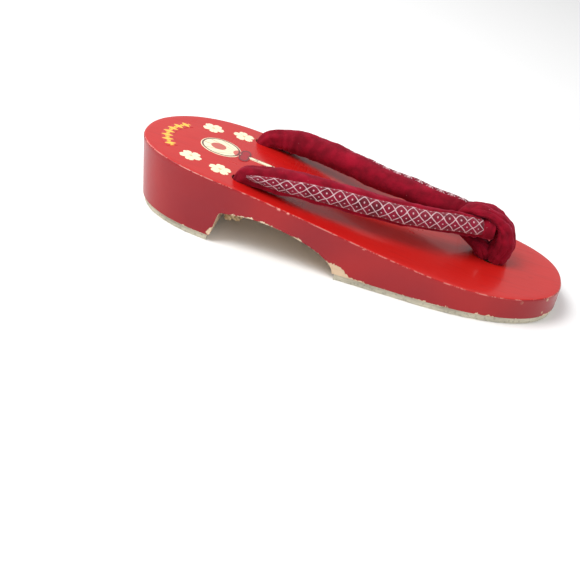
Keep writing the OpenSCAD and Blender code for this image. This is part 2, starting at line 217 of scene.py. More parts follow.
class Finish:
    """A material under construction."""

    def __init__(self, name):
        self.material = bpy.data.materials.new(name)
        self.material.use_nodes = True
        self.tree = self.material.node_tree
        self.tree.nodes.clear()
        self.point = self.node("ShaderNodeTexCoord", output="Object")

    def node(self, kind, settings=None, inputs=None, output=0):
        made = self.tree.nodes.new(kind)
        for key, value in (settings or {}).items():
            setattr(made, key, value)
        for key, value in (inputs or {}).items():
            plug(self.tree, made.inputs[key], value)
        return Wire(self.tree, made.outputs[output])

    def attribute(self, name):
        return self.node("ShaderNodeAttribute", {"attribute_name": name}, output="Fac")

    def parts(self, vector):
        node = self.tree.nodes.new("ShaderNodeSeparateXYZ")
        plug(self.tree, node.inputs[0], vector)
        return [Wire(self.tree, node.outputs[i]) for i in range(3)]

    def vector(self, x, y, z=0.0):
        return self.node("ShaderNodeCombineXYZ", inputs={"X": x, "Y": y, "Z": z})

    def stretched(self, scale):
        return self.node("ShaderNodeMapping", inputs={"Vector": self.point, "Scale": scale})

    def noise(self, scale, detail=3.0, vector=None, rough=0.55):
        return self.node("ShaderNodeTexNoise", inputs={
            "Vector": vector or self.point, "Scale": scale, "Detail": detail, "Roughness": rough})

    def cells(self, scale, vector=None):
        return self.node("ShaderNodeTexVoronoi", inputs={
            "Vector": vector or self.point, "Scale": scale}, output="Distance")

    def mix(self, share, a, b):
        node = self.tree.nodes.new("ShaderNodeMix")
        node.data_type = "RGBA"
        for slot, value in ((node.inputs[0], share), (node.inputs[6], a), (node.inputs[7], b)):
            if isinstance(value, tuple) and len(value) == 3:
                value = (*value, 1.0)
            plug(self.tree, slot, value)
        return Wire(self.tree, node.outputs[2])

    def bumped(self, height, distance):
        return self.node("ShaderNodeBump", inputs={"Height": height, "Distance": distance, "Strength": 1.0})

    def done(self, **sockets):
        shader = self.tree.nodes.new("ShaderNodeBsdfPrincipled")
        for key, value in sockets.items():
            slot = shader.inputs[key.replace("_", " ")]
            if isinstance(value, tuple) and len(value) == 3 and slot.type == "RGBA":
                value = (*value, 1.0)
            plug(self.tree, slot, value)
        out = self.tree.nodes.new("ShaderNodeOutputMaterial")
        self.tree.links.new(shader.outputs[0], out.inputs[0])
        return self.material


def near(finish, place, radius):
    """1 at a place given in millimetres from the heel, falling to 0 at a radius in millimetres."""
    x, y, z = finish.parts(finish.point)
    away = ((x - (place[0] - LENGTH / 2) * MM) * (x - (place[0] - LENGTH / 2) * MM)
            + (y - place[1] * MM) * (y - place[1] * MM)
            + (z - place[2] * MM) * (z - place[2] * MM)).power(0.5)
    return (1.0 - away / (radius * MM)).held()


def lacquer_material():
    f, c = Finish("red_lacquer_on_wood"), colours()
    rim, foot = f.attribute("rim"), f.attribute("foot")
    deck, bare_face = f.attribute("deck"), f.attribute("bare")
    broad, middle, fine = f.noise(22.0, 2.0), f.noise(160.0, 4.0), f.noise(900.0, 3.0)
    brushed = f.noise(60.0, 3.0, f.stretched((1.0, 7.0, 7.0)))
    # Upward faces (deck) take the lit red; the walls take the darker copy of the same lacquer as painted
    # shade.
    red = f.mix(deck, tuple(c.shaded_wall_lacquer), tuple(c.lacquer))
    red = f.mix((broad - 0.35).held() * 1.0, red, (0.56, 0.016, 0.009))
    red = f.mix((brushed - 0.5).held() * 0.9, red, (0.27, 0.004, 0.008))
    # Worn rim and painted highlight: a thin broken pinkish line along the rounded rim, partly where the
    # lacquer is rubbed through and partly a painted highlight; the nicks are real wear
    line = rim.fall(0.18, 0.62) * (middle + (fine - 0.5) * 0.7).ramp(0.46, 0.58)
    nicks = rim.fall(0.3, 1.3) * f.cells(210.0).fall(0.12, 0.20) * f.noise(55.0, 1.0).ramp(0.54, 0.64)
    rim_wear_and_highlight = line.most(nicks).held()
    # Chips along the lower edges, larger near the corners of the blocks
    ragged = f.noise(120.0, 5.0, rough=0.7)
    edge_chip = (foot - (ragged - 0.52) * 7.0 - 0.12).fall(0.0, 0.2)
    corner = (near(f, (102.5, -39.5, 4.5), 9.0).most(near(f, (103.0, 39.5, 4.0), 6.0))
              .most(near(f, (44.0, -37.0, 5.0), 5.0)))
    corner_chip = (corner + (ragged - 0.5) * 1.3 - foot * 0.12).ramp(0.40, 0.44)
    toe = f.parts(f.point)[0].ramp(0.080, 0.090) * (1.0 - deck)
    toe_chip = toe * f.cells(150.0).fall(0.11, 0.16) * f.noise(75.0, 1.0).ramp(0.53, 0.60)
    chip = edge_chip.most(corner_chip).most(toe_chip).held() * (1.0 - deck)
    bare = bare_face.most(chip)
    grain = f.noise(70.0, 5.0, f.stretched((1.0, 9.0, 9.0)))
    rings = f.node("ShaderNodeTexWave", {"bands_direction": "Y"}, {
        "Vector": f.stretched((0.4, 1.0, 1.0)), "Scale": 90.0, "Distortion": 5.0, "Detail": 3.0,
        "Detail Scale": 1.2})
    wood = f.mix(rings * 0.45, tuple(c.bare_wood), (0.52, 0.35, 0.21))
    wood = f.mix(grain.ramp(0.45, 0.8) * 0.6, wood, (0.40, 0.26, 0.15))
    scuff = f.cells(75.0, f.stretched((0.55, 1.0, 1.6))).fall(0.035, 0.075)
    scuff = scuff * f.noise(38.0, 1.0).ramp(0.54, 0.62)
    colour = f.mix(scuff * 0.75 * (1.0 - deck * 0.8), red, (0.13, 0.006, 0.010))
    # Pinkish rim line: rubbed-through lacquer and a painted highlight on the rounded edge.
    colour = f.mix(rim_wear_and_highlight * 0.75, colour, (0.78, 0.36, 0.30))
    colour = f.mix(bare, colour, wood)
    scratch = f.noise(26.0, 2.0, f.stretched((14.0, 1.0, 1.0))).ramp(0.62, 0.75)
    rough = (0.27 + (broad - 0.5) * 0.24 + scratch * 0.07 + middle * 0.05 + (1.0 - deck) * 0.05)
    rough = rough + rim_wear_and_highlight * 0.25 + bare * 0.42
    height = broad * 1.2 + brushed * 0.20 + middle * 0.10 - rim_wear_and_highlight * 0.10 - chip * 0.5 - grain * bare * 0.25
    return f.done(Base_Color=colour, Roughness=rough.held(), Coat_Weight=((1.0 - bare) * (1.0 - rim_wear_and_highlight) * 0.22),
                  Coat_Roughness=0.09, Specular_IOR_Level=0.26, Normal=f.bumped(height, 0.00022))


def rubber_material():
    f, c = Finish("grey_beige_rubber"), colours()
    fine, broad = f.noise(1500.0, 3.0), f.noise(90.0, 4.0)
    layers = f.noise(60.0, 4.0, f.stretched((1.0, 1.0, 22.0)))
    pits = f.cells(620.0).fall(0.15, 0.4)
    colour = f.mix(broad.ramp(0.35, 0.7), tuple(c.rubber), (0.60, 0.56, 0.44))
    colour = f.mix(layers.ramp(0.5, 0.75) * 0.55, colour, (0.27, 0.25, 0.19))
    colour = f.mix(pits * 0.35, colour, (0.20, 0.18, 0.14))
    height = fine * 0.5 + layers * 1.2 - pits * 0.5
    return f.done(Base_Color=colour, Roughness=(0.78 + broad * 0.15).held(), Specular_IOR_Level=0.3,
                  Normal=f.bumped(height, 0.00025))


def velvet_material():
    f, c = Finish("crimson_velvet"), colours()
    pile, nap, broad = f.noise(2600.0, 2.0), f.noise(230.0, 4.0), f.noise(60.0, 3.0)
    dark = tuple(v * 0.58 for v in c.velvet)
    light = tuple(min(1.0, v * 1.45) for v in c.velvet)
    colour = f.mix((nap * 0.6 + broad * 0.4).ramp(0.36, 0.62), dark, tuple(c.velvet))
    colour = f.mix(broad.ramp(0.52, 0.72) * 0.5, colour, light)
    lint = f.cells(420.0).fall(0.045, 0.075) * f.noise(140.0, 1.0).ramp(0.56, 0.64)
    colour = f.mix(lint * 0.55, colour, (0.62, 0.36, 0.38))
    return f.done(Base_Color=colour, Roughness=0.9, Sheen_Weight=0.55, Sheen_Roughness=0.35,
                  Sheen_Tint=(0.85, 0.10, 0.20), Specular_IOR_Level=0.12,
                  Normal=f.bumped(pile * 0.35 + nap * 0.9 + broad * 1.2, 0.00045))


def band_material():
    """Diamonds across a dark ground: U runs along the strap in diamonds, V across it from 0 to 1."""
    f, c = Finish("diamond_patterned_cloth"), colours()
    u, v, _ = f.parts(f.node("ShaderNodeUVMap", {"uv_map": "weave"}))
    wobble = (f.noise(300.0, 2.0) - 0.5) * 0.14
    across = v * 2.0 + 0.25
    bow = ((across * math.tau).maths("SINE")) * 0.045
    lean_a, lean_b = u + across + bow + wobble, u - across - bow + wobble
    edge = ((v - 0.5).size() * 2.0).ramp(0.62, 0.98) * 0.13
    line_a = (lean_a.saw() - edge).size()
    line_b = (lean_b.saw() - edge).size()
    broken = f.noise(520.0, 3.0)
    width = 0.045 + (broken - 0.5) * 0.05
    lines = line_a.least(line_b).fall(width * 0.75, width * 1.45)
    gap_a, gap_b = 0.5 - lean_a.saw(), 0.5 - lean_b.saw()
    dot = (gap_a * gap_a + gap_b * gap_b).power(0.5).fall(0.06, 0.11)
    print_on = lines.most(dot) * broken.ramp(0.24, 0.40)
    threads = f.node("ShaderNodeTexWave", {"bands_direction": "X"}, {
        "Vector": f.vector(u, v), "Scale": 9.0, "Distortion": 0.6}).most(
        f.node("ShaderNodeTexWave", {"bands_direction": "Y"}, {
            "Vector": f.vector(u, v), "Scale": 12.0, "Distortion": 0.6}))
    ground = f.mix(f.noise(180.0, 3.0).ramp(0.4, 0.7), tuple(c.band), (0.12, 0.003, 0.012))
    colour = f.mix(print_on * 0.95, ground, tuple(c.lattice))
    colour = f.mix(threads * 0.16, colour, (0.06, 0.004, 0.012))
    return f.done(Base_Color=colour, Roughness=0.82, Sheen_Weight=0.2, Sheen_Roughness=0.4,
                  Specular_IOR_Level=0.2, Normal=f.bumped(print_on * 1.1 + threads * 0.5, 0.00018))


def fibre_material(name, light, dark, turns):
    """Twisted strands: a slanted wave over the piece, darker in the grooves between strands as painted shade.
    """
    f = Finish(name)
    x, y, z = f.parts(f.point)
    strands = (((x + y) * 0.8 + z) * turns).saw() * 2.0
    hairs = f.noise(1900.0, 4.0, f.stretched((1.0, 1.0, 0.3)))
    # The dark between strands is painted shade in the twist's grooves; the hairs noise is the fibres' own
    # tone.
    colour = f.mix(strands * 0.7 + hairs * 0.3, dark, light)
    return f.done(Base_Color=colour, Roughness=0.88, Specular_IOR_Level=0.2,
                  Normal=f.bumped(strands + hairs * 0.4, 0.0004))


def metal_material(name, colour, rust):
    f = Finish(name)
    broad, fine = f.noise(240.0, 4.0), f.noise(1400.0, 3.0)
    stain = (broad + (fine - 0.5) * 0.3).ramp(0.52, 0.66)
    return f.done(Base_Color=f.mix(stain * 0.7, colour, rust), Metallic=(1.0 - stain * 0.7),
                  Roughness=(0.34 + broad * 0.2 + stain * 0.3).held(),
                  Normal=f.bumped(fine * 0.5 + broad, 0.00008))


def sticker_material(name, face, outline=None, extra=None):
    """A printed film: border is the distance to the sticker's edge, in millimetres."""
    f = Finish(name)
    border = f.attribute("border")
    faded = f.noise(260.0, 4.0)
    colour = f.mix(faded.ramp(0.45, 0.75) * 0.35, face, tuple(v * 0.80 for v in face))
    if extra:
        colour = extra(f, colour)
    if outline:
        ring = border.ramp(0.35, 0.50) * border.fall(1.20, 1.40)
        colour = f.mix(ring * 0.92, colour, outline)
    rubbed = (faded + f.noise(1100.0, 2.0) * 0.25).ramp(0.86, 0.94)
    colour = f.mix(rubbed * 0.5, colour, (0.55, 0.03, 0.02))
    return f.done(Base_Color=colour, Roughness=(0.38 + faded * 0.14).held(), Coat_Weight=0.25,
                  Coat_Roughness=0.2, Normal=f.bumped(faded, 0.00003))


def blossom_print(f, colour):
    """A darker eye and short stamens in the middle of each blossom."""
    u, v, _ = f.parts(f.node("ShaderNodeUVMap", {"uv_map": "print"}))
    out = (u * u + v * v).power(0.5)
    turn = v.maths("ARCTAN2", u) * (5.0 / math.tau)
    stamens = turn.saw().fall(0.03, 0.06) * out.fall(0.40, 0.46)
    petals = (turn + 0.5).saw().fall(0.012, 0.035) * out.ramp(0.4, 0.5)
    colour = f.mix((out.fall(0.12, 0.18)).most(stamens) * 0.7, colour, (0.62, 0.30, 0.10))
    return f.mix(petals * 0.35, colour, (0.60, 0.34, 0.20))


def fan_print(f, colour):
    """A red sun, and ribs that spread over the fan's paper from a red hub at its handle."""
    u, v, _ = f.parts(f.node("ShaderNodeUVMap", {"uv_map": "print"}))
    turn = v.maths("ARCTAN2", 1.05 - u) * (20.0 / math.tau)
    out = (u * u + v * v).power(0.5)
    ribs = turn.saw().fall(0.05, 0.10) * out.fall(0.80, 0.86)
    sun = ((u + 0.12) * (u + 0.12) + v * v).power(0.5).fall(0.36, 0.39)
    hub = (((u - 1.05) * (u - 1.05) + v * v).power(0.5)).fall(0.40, 0.44) * out.fall(0.96, 1.0)
    colour = f.mix(sun * 0.88, colour, (0.50, 0.012, 0.020))
    colour = f.mix(ribs * 0.60, colour, (0.34, 0.16, 0.09))
    return f.mix(hub * 0.85, colour, (0.55, 0.02, 0.03))


def strip_print(f, colour):
    """A row of diamonds and dots, with the lacquer showing between them."""
    u, v, _ = f.parts(f.node("ShaderNodeUVMap", {"uv_map": "print"}))
    along, side = (u * 7.0).saw() * 2.0, (v - 0.5).size() * 2.0
    diamonds = ((1.0 - along) * 1.0 + side * 0.62).fall(0.62, 0.68)
    dots = ((along * along * 1.6 + side * side).power(0.5)).fall(0.34, 0.40)
    return f.mix(diamonds.most(dots), (0.50, 0.012, 0.012), colour)


# ---------------------------------------------------------------- shape rules

def deck_z(x):
    share = np.clip((np.asarray(x, float) - FALL_START) / (FALL_END - FALL_START), 0, 1)
    return TOE_H + (HEEL_H - TOE_H) * (1 + np.cos(math.pi * share)) / 2


def end_share(distance, round_len, power):
    t = np.clip((round_len - distance) / round_len, 0, 1)
    return np.clip(1 - t ** power, 0, 1) ** (1 / power)


def half_w(x):
    x = np.asarray(x, float)
    share = np.clip((x - HEEL_ROUND) / (LENGTH - HEEL_ROUND - TOE_ROUND), 0, 1)
    side = HEEL_HALF + (BALL_HALF - HEEL_HALF) * share
    return side * end_share(x, HEEL_ROUND, HEEL_POWER) * end_share(LENGTH - x, TOE_ROUND, TOE_POWER)


ARCH_TOP = float(deck_z(WAIST_X)) - WAIST_T
RECESS_TOP = float(deck_z(FRONT_HOLE)) - 3.5


def underside_z(x):
    """Height of the wood's underside, in millimetres."""
    if x <= HEEL_BLOCK or x >= FRONT_BLOCK:
        return WOOD_BOTTOM
    if x < HEEL_FACE_TOP:
        t = (x - HEEL_BLOCK) / (HEEL_FACE_TOP - HEEL_BLOCK)
        return WOOD_BOTTOM + (ARCH_TOP - ARCH_DROP - WOOD_BOTTOM) * t
    if x < WAIST_X:
        return ARCH_TOP - ARCH_DROP * (WAIST_X - x) / (WAIST_X - HEEL_FACE_TOP)
    t = (x - WAIST_X) / (FRONT_BLOCK - WAIST_X)
    return WOOD_BOTTOM + (ARCH_TOP - WOOD_BOTTOM) * max(0.0, 1 - t ** ARCH_POWER) ** (1 / ARCH_POWER)


def outline(count, inset=0.0):
    """Points round the plan outline, evenly spaced, with their outward directions."""
    a = np.linspace(0, math.pi, 3000)
    x = LENGTH * (1 - np.cos(a)) / 2
    y = half_w(x)
    line = np.concatenate([np.stack([x, -y], 1), np.stack([x, y], 1)[::-1][1:]])
    gone = np.concatenate([[0], np.cumsum(np.linalg.norm(np.diff(line, axis=0), axis=1))])
    at = np.linspace(0, gone[-1], count, endpoint=False)
    points = np.stack([np.interp(at, gone, line[:, i]) for i in (0, 1)], 1)
    ahead = np.roll(points, -2, 0) - np.roll(points, 2, 0)
    out = np.stack([ahead[:, 1], -ahead[:, 0]], 1)
    out /= np.linalg.norm(out, axis=1)[:, None]
    return points - out * inset, out


def leaned(points, z):
    """The outline's points at a height: the heel's back wall slopes forward going down."""
    shift = RAKE * (HEEL_H - z)
    x = points[:, 0] + shift * np.clip((LEAN_END - points[:, 0]) / LEAN_END, 0, 1)
    limit = np.minimum(half_w(x), half_w(np.clip(x - shift, 0, LENGTH)))
    full = np.maximum(half_w(points[:, 0]), 1e-6)
    y = points[:, 1] * np.where(points[:, 0] < LEAN_END, limit / full, 1.0)
    return np.stack([x, y], 1)


def curve_at(route, s):
    """Catmull-Rom point of a route at shares s."""
    p = np.asarray(route, float)
    k = np.clip(s, 0, 0.99999) * (len(p) - 1)
    i = np.floor(k).astype(int)
    t = (k - i)[:, None]
    a, b = p[np.maximum(i - 1, 0)], p[i]
    c, d = p[i + 1], p[np.minimum(i + 2, len(p) - 1)]
    square, cube = 2 * a - 5 * b + 4 * c - d, 3 * b - a - 3 * c + d
    return 0.5 * (2 * b + (c - a) * t + square * t * t + cube * t ** 3)


def strap_place(s):
    """The strap's middle line and its heading. The first seventh of s rises from the hole."""
    t = np.interp(s, [0, 1 / 7, 1], [0, 2 / 8, 1])
    return curve_at(STRAP_LINE, t), heading_at(STRAP_LINE, t)


def heading_at(route, s):
    d = curve_at(route, s + 0.004) - curve_at(route, s - 0.004)
    return d / np.linalg.norm(d, axis=1)[:, None]


# Routes: x from the heel, y to the wearer's left where it changes, and height above the deck
STRAP_ROUTE = [[50.6, 25.5, -3.5], [51.6, 25.6, 0.8], [54.9, 26, 3.6], [64, 26.4, 5.9], [82, 23.8, 8.4],
               [106, 18.4, 10.2], [130, 13, 12], [148, 8.4, 13.8], [163, 4.4, 14.4]]
LOOP_ROUTE = [[164.6, -1.5], [161.4, 3.4], [156, 5.8], [150, 8.2], [147.6, 13.8], [150.6, 18.6], [156, 20.4],
              [162.4, 20], [168.2, 15], [169.8, 8.4], [168.8, 3.6], [167.2, -1.5]]
STRAP_LINE = [[x, y, float(deck_z(x)) + h] for x, y, h in STRAP_ROUTE]
LOOP_LINE = [[x, 0.0, float(deck_z(x)) + h] for x, h in LOOP_ROUTE]
LOOP_WIDE = ([0, 0.06, 0.1, 0.18, 0.27, 0.4, 0.5, 0.55, 0.73, 0.82, 0.91, 0.96, 1],
             [5, 6.8, 7.4, 6, 2, 2, 6, 7.2, 7.8, 8.6, 8.4, 7.4, 5.4])
LOOP_THICK = ([0, 0.03, 0.06, 0.1, 0.18, 0.27, 0.5, 0.64, 0.73, 0.82, 0.91, 0.96, 1],
              [2.6, 2.8, 3.6, 3.9, 2.5, 2, 2.2, 2.4, 4.6, 5.4, 5.8, 5.2, 3.4])


def swayed(points):
    """The worn thong leans a little to the wearer's left toward the front."""
    share = np.clip((points[:, 0] - SWAY_START) / SWAY_LENGTH, 0, 1)
    points[:, 1] += SWAY * share * share * (3 - 2 * share)
    return points


def lumps(points, size, seed):
    """Soft noise at points in millimetres, about -1 to 1."""
    return np.array([noise.noise(Vector(p) / size + Vector((seed, 3.1 * seed, 0))) for p in points]) * 1.6


# ---------------------------------------------------------------- mesh helpers

def metres(points):
    points = np.asarray(points, float)
    return (points - np.array([LENGTH / 2, 0, 0])) * MM


def make_piece(name, points, faces, material, smooth_deg=180.0, uv=None, uv_name="weave"):
    """A mesh object from points in millimetres. uv holds one pair for each point."""
    mesh = bpy.data.meshes.new(name)
    mesh.from_pydata([tuple(p) for p in metres(points)], [], [tuple(int(i) for i in f) for f in faces])
    if uv is not None:
        layer = mesh.uv_layers.new(name=uv_name)
        corners = np.zeros(len(mesh.loops), np.int32)
        mesh.loops.foreach_get("vertex_index", corners)
        layer.data.foreach_set("uv", np.asarray(uv, np.float32)[corners].ravel())
    mesh.materials.append(material)
    piece = bpy.data.objects.new(name, mesh)
    bpy.context.scene.collection.objects.link(piece)
    soften(mesh, smooth_deg)
    mesh.validate()
    return piece


def soften(mesh, degrees):
    mesh.shade_smooth()
    if degrees < 180:
        mesh.set_sharp_from_angle(angle=math.radians(degrees))


def face_outwards(mesh, merge_within):
    """Merges doubled points and turns the faces of a closed mesh outwards."""
    bm = bmesh.new()
    bm.from_mesh(mesh)
    bmesh.ops.remove_doubles(bm, verts=bm.verts, dist=merge_within)
    bmesh.ops.recalc_face_normals(bm, faces=bm.faces)
    bm.to_mesh(mesh)
    bm.free()


def point_out(piece):
    face_outwards(piece.data, 1e-7)


def write_attribute(mesh, name, values, domain="POINT"):
    made = mesh.attributes.new(name, "FLOAT", domain)
    made.data.foreach_set("value", np.asarray(values, np.float32))


def loft_faces(rings, sides, closed=True):
    """Four-sided faces between rings of points. A loft that is not closed is an open sheet."""
    quads = []
    for r in range(rings - 1):
        for i in range(sides if closed else sides - 1):
            j, a = (i + 1) % sides, r * sides
            quads.append((a + i, a + j, a + sides + j, a + sides + i))
    return quads


def settle(piece):
    """Applies every modifier of a piece and leaves a plain mesh."""
    bpy.context.view_layer.update()
    shaped = piece.evaluated_get(bpy.context.evaluated_depsgraph_get())
    mesh = bpy.data.meshes.new_from_object(shaped)
    piece.modifiers.clear()
    old, piece.data = piece.data, mesh
    mesh.name = piece.name
    bpy.data.meshes.remove(old)
    return piece


def cut(piece, *cutters, solver="EXACT"):
    """Takes the cutters' solids away from a piece."""
    for cutter in cutters:
        mod = piece.modifiers.new("cut", "BOOLEAN")
        mod.operation, mod.solver, mod.object = "DIFFERENCE", solver, cutter
        settle(piece)
        mesh = cutter.data
        bpy.data.objects.remove(cutter)
        bpy.data.meshes.remove(mesh)
    return piece


def cutter_from(points, faces):
    mesh = bpy.data.meshes.new("cutter")
    mesh.from_pydata([tuple(p) for p in metres(points)], [], faces)
    made = bpy.data.objects.new("cutter", mesh)
    bpy.context.scene.collection.objects.link(made)
    return made


def cylinder(centre, radius, low, high, sides=64):
    """A closed upright cylinder in millimetres, as a cutter."""
    a = np.linspace(0, math.tau, sides, endpoint=False)
    ring = np.stack([centre[0] + radius * np.cos(a), centre[1] + radius * np.sin(a)], 1)
    points = [(*p, low) for p in ring] + [(*p, high) for p in ring]
    faces = loft_faces(2, sides) + [tuple(range(sides))[::-1], tuple(range(sides, 2 * sides))]
    return cutter_from(points, faces)


def arch_cutter():
    """The space between the two blocks, wider than the clog."""
    steps = np.linspace(0, math.pi / 2, 40)
    arc = [(WAIST_X + (FRONT_BLOCK - WAIST_X) * math.cos(a) ** (2 / ARCH_POWER),
            WOOD_BOTTOM + (ARCH_TOP - WOOD_BOTTOM) * math.sin(a) ** (2 / ARCH_POWER)) for a in steps]
    top = ARCH_TOP - ARCH_DROP
    rounding = ((2.2, 0.22), (0.9, -0.05), (0.15, -0.7), (-0.25, -2.0))
    corner = [(HEEL_FACE_TOP + x, top + z) for x, z in rounding]
    profile = [(FRONT_BLOCK, -4)] + arc + corner + [(HEEL_BLOCK, WOOD_BOTTOM), (HEEL_BLOCK, -4)]
    n = len(profile)
    points = [(x, -60, z) for x, z in profile] + [(x, 60, z) for x, z in profile]
    faces = loft_faces(2, n) + [tuple(range(n))[::-1], tuple(range(n, 2 * n))]
    made = cutter_from(points, faces)
    point_out(made)
    return made


def inner_rings(points, steps):
    """Rings that shrink from an outline to its middle line."""
    middle = np.stack([np.clip(points[:, 0], MIDDLE_START, MIDDLE_END), np.zeros(len(points))], 1)
    return [points + (middle - points) * t for t in steps]


# ---------------------------------------------------------------- pieces

def build_block():
    """The carved block: rounded rim, sloping heel wall, arch, cord holes and knot recess."""
    count = 460
    points, out = outline(count)
    rim = sizes().rim_round / MM
    rings = []
    flat = points - out * rim
    for ring in inner_rings(flat, (1 - np.linspace(0, 1, 17) ** 0.8)[:-1]):
        rings.append(np.column_stack([ring, deck_z(ring[:, 0])]))
    for a in np.linspace(0, math.pi / 2, 6):
        ring = points - out * rim * (1 - math.sin(a))
        rings.append(np.column_stack([ring, deck_z(ring[:, 0]) - rim * (1 - math.cos(a))]))
    top = deck_z(points[:, 0]) - rim
    for t in np.linspace(0, 1, 17)[1:]:
        z = top + (WOOD_BOTTOM - top) * t
        rings.append(np.column_stack([leaned(points, z), z]))
    low = rings[-1]
    for t in np.linspace(0, 1, 9)[1:]:
        middle = np.column_stack([np.clip(low[:, 0], MIDDLE_START, MIDDLE_END), np.zeros(count)])
        rings.append(np.column_stack([low[:, :2] + (middle - low[:, :2]) * t, np.full(count, WOOD_BOTTOM)]))
    points_3d = np.concatenate(rings)
    faces = loft_faces(len(rings), count)
    block = make_piece("lacquered_block", points_3d, faces, lacquer_material())
    point_out(block)
    holes = [cylinder((REAR_HOLE[0], s * REAR_HOLE[1]), HOLE_R, 1, 40) for s in (-1, 1)]
    cut(block, arch_cutter(), *holes, cylinder((FRONT_HOLE, 0), HOLE_R, 1, 40),
        cylinder((FRONT_HOLE, 0), RECESS_R, -2, RECESS_TOP))
    mark_wear_and_painted_light(block)
    soften(block.data, 32)
    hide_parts("wooden_body")
    return block


def mark_wear_and_painted_light(block):
    """Distances to the deck's rim and to the lower edges, and which faces are deck or bare wood."""
    mesh = block.data
    points, _ = outline(1500)
    rim, foot = kdtree.KDTree(len(points)), kdtree.KDTree(len(points))
    at_top = metres(np.column_stack([points, deck_z(points[:, 0])]))
    under = np.array([underside_z(x) for x in points[:, 0]])
    at_foot = metres(np.column_stack([leaned(points, under), under]))
    for i, (a, b) in enumerate(zip(at_top, at_foot)):
        rim.insert(a, i)
        foot.insert(b, i)
    rim.balance()
    foot.balance()
    write_attribute(mesh, "rim", [rim.find(v.co)[2] / MM for v in mesh.vertices])
    write_attribute(mesh, "foot", [foot.find(v.co)[2] / MM for v in mesh.vertices])
    deck, bare = [], []
    for face in mesh.polygons:
        x, y, z = face.center.x / MM + LENGTH / 2, face.center.y / MM, face.center.z / MM
        # The deck mark also picks the lit deck red against the painted-shade wall red.
        deck.append(1.0 if face.normal.z > 0.75 and z > float(deck_z(x)) - 0.6 else 0.0)
        back = max(0.0, x - RAKE * (HEEL_H - z)) if x < LEAN_END else x
        inner = abs(y) < float(half_w(back)) - 1.2 and z < float(deck_z(x)) - 0.5 and 8 < x < 194
        bare.append(1.0 if face.normal.z < -0.25 or inner else 0.0)
    write_attribute(mesh, "deck", deck, "FACE")
    write_attribute(mesh, "bare", bare, "FACE")


def build_sole(name, node, start, end, tacks, cap):
    """A rubber sheet cut a little inside the wood, with a slightly torn edge."""
    thick = sizes().sole_thickness / MM
    points, out = outline(900, 0.8)
    shape = leaned(points, 0.0)
    inside = (shape[:, 0] > start) & (shape[:, 0] < end)
    order = np.where(inside)[0]
    if start < 1:
        order = np.roll(order, -np.argmax(np.diff(order)) - 1) if np.max(np.diff(order)) > 1 else order
    loop, push = shape[order], out[order]
    edge_x = end if start < 1 else start
    first, last = loop[-1], loop[0]
    steps = 60
    across = np.array([[edge_x, first[1] + (last[1] - first[1]) * t] for t in np.linspace(0, 1, steps)])
    loop = np.concatenate([loop, across])
    push = np.concatenate([push, np.tile([1.0 if start < 1 else -1.0, 0.0], (steps, 1))])
    count = len(loop)
    levels = [0.0, 0.25, 0.7, 1.2, 1.7, 2.2, 2.7, thick]
    rings = []
    for k, z in enumerate(levels):
        torn = lumps(np.column_stack([loop, np.full(count, z * 3)]), 2.2, 5.0 + k * 0.35) * 0.16
        pull = 0.28 if k == 0 else 0.05
        rings.append(np.column_stack([loop + push * (torn - pull)[:, None], np.full(count, z)]))
    centre = loop.mean(0)
    for ring, z in ((rings[0], 0.0), (rings[-1], thick)):
        shrunk = [np.column_stack([ring[:, :2] + (centre - ring[:, :2]) * t, np.full(count, z)])
                  for t in (0.25, 0.5, 0.75, 1.0)]
        rings = shrunk[::-1] + rings if z == 0.0 else rings + shrunk
    sole = make_piece(name, np.concatenate(rings), loft_faces(len(rings), count),
                      bpy.data.materials.get("grey_beige_rubber") or rubber_material())
    point_out(sole)
    cutters = [cylinder(p, TACK_HEAD_R + 0.1, -1, TACK_SEAT, 32) for p in tacks]
    if cap:
        cutters.append(cylinder(cap, CAP_R + CAP_CLEARANCE, -1, 5, 72))
    cut(sole, *cutters, solver="MANIFOLD")
    soften(sole.data, 40)
    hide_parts(node)
    return sole


def heel_tack_places():
    return [(16.0, s * (float(half_w(16)) - REAR_TACK_INSET)) for s in (-1, 1)] + [
        (36.0, s * (float(half_w(44)) - TACK_INSET)) for s in (-1, 1)]


def front_tack_places():
    return [(x, s * (float(half_w(x)) - TACK_INSET)) for x in (108.0, 145.0) for s in (-1, 1)] + [
        (186.0, -16.0), (186.0, 16.0)]


def strap_section(s):
    """Half width, half thickness and fullness of a strap at shares of its route."""
    line, _ = strap_place(s)
    gone = np.linalg.norm(line - np.array(STRAP_LINE[0]), axis=1) - 3.5
    full = np.sin(np.pi / 2 * np.clip(gone / 19, 0, 1))
    wide = STRAP_HALF_W + (TIP_HALF - STRAP_HALF_W) * np.clip((s - 0.7) / 0.3, 0, 1)
    thick = STRAP_HALF_T + (TIP_HALF - STRAP_HALF_T) * np.clip((s - 0.5) / 0.5, 0, 1)
    return HOLE_END + (wide - HOLE_END) * full, HOLE_END + (thick - HOLE_END) * full, full


def band_edges(s):
    """Angles of the band's two seams round the strap, in degrees."""
    low = np.interp(s, [0.14, 0.22, 0.34], [8, -18, -28])
    high = np.interp(s, [0.14, 0.3, 0.5, 0.75, 1], [22, 42, 62, 84, 88])
    return low, high


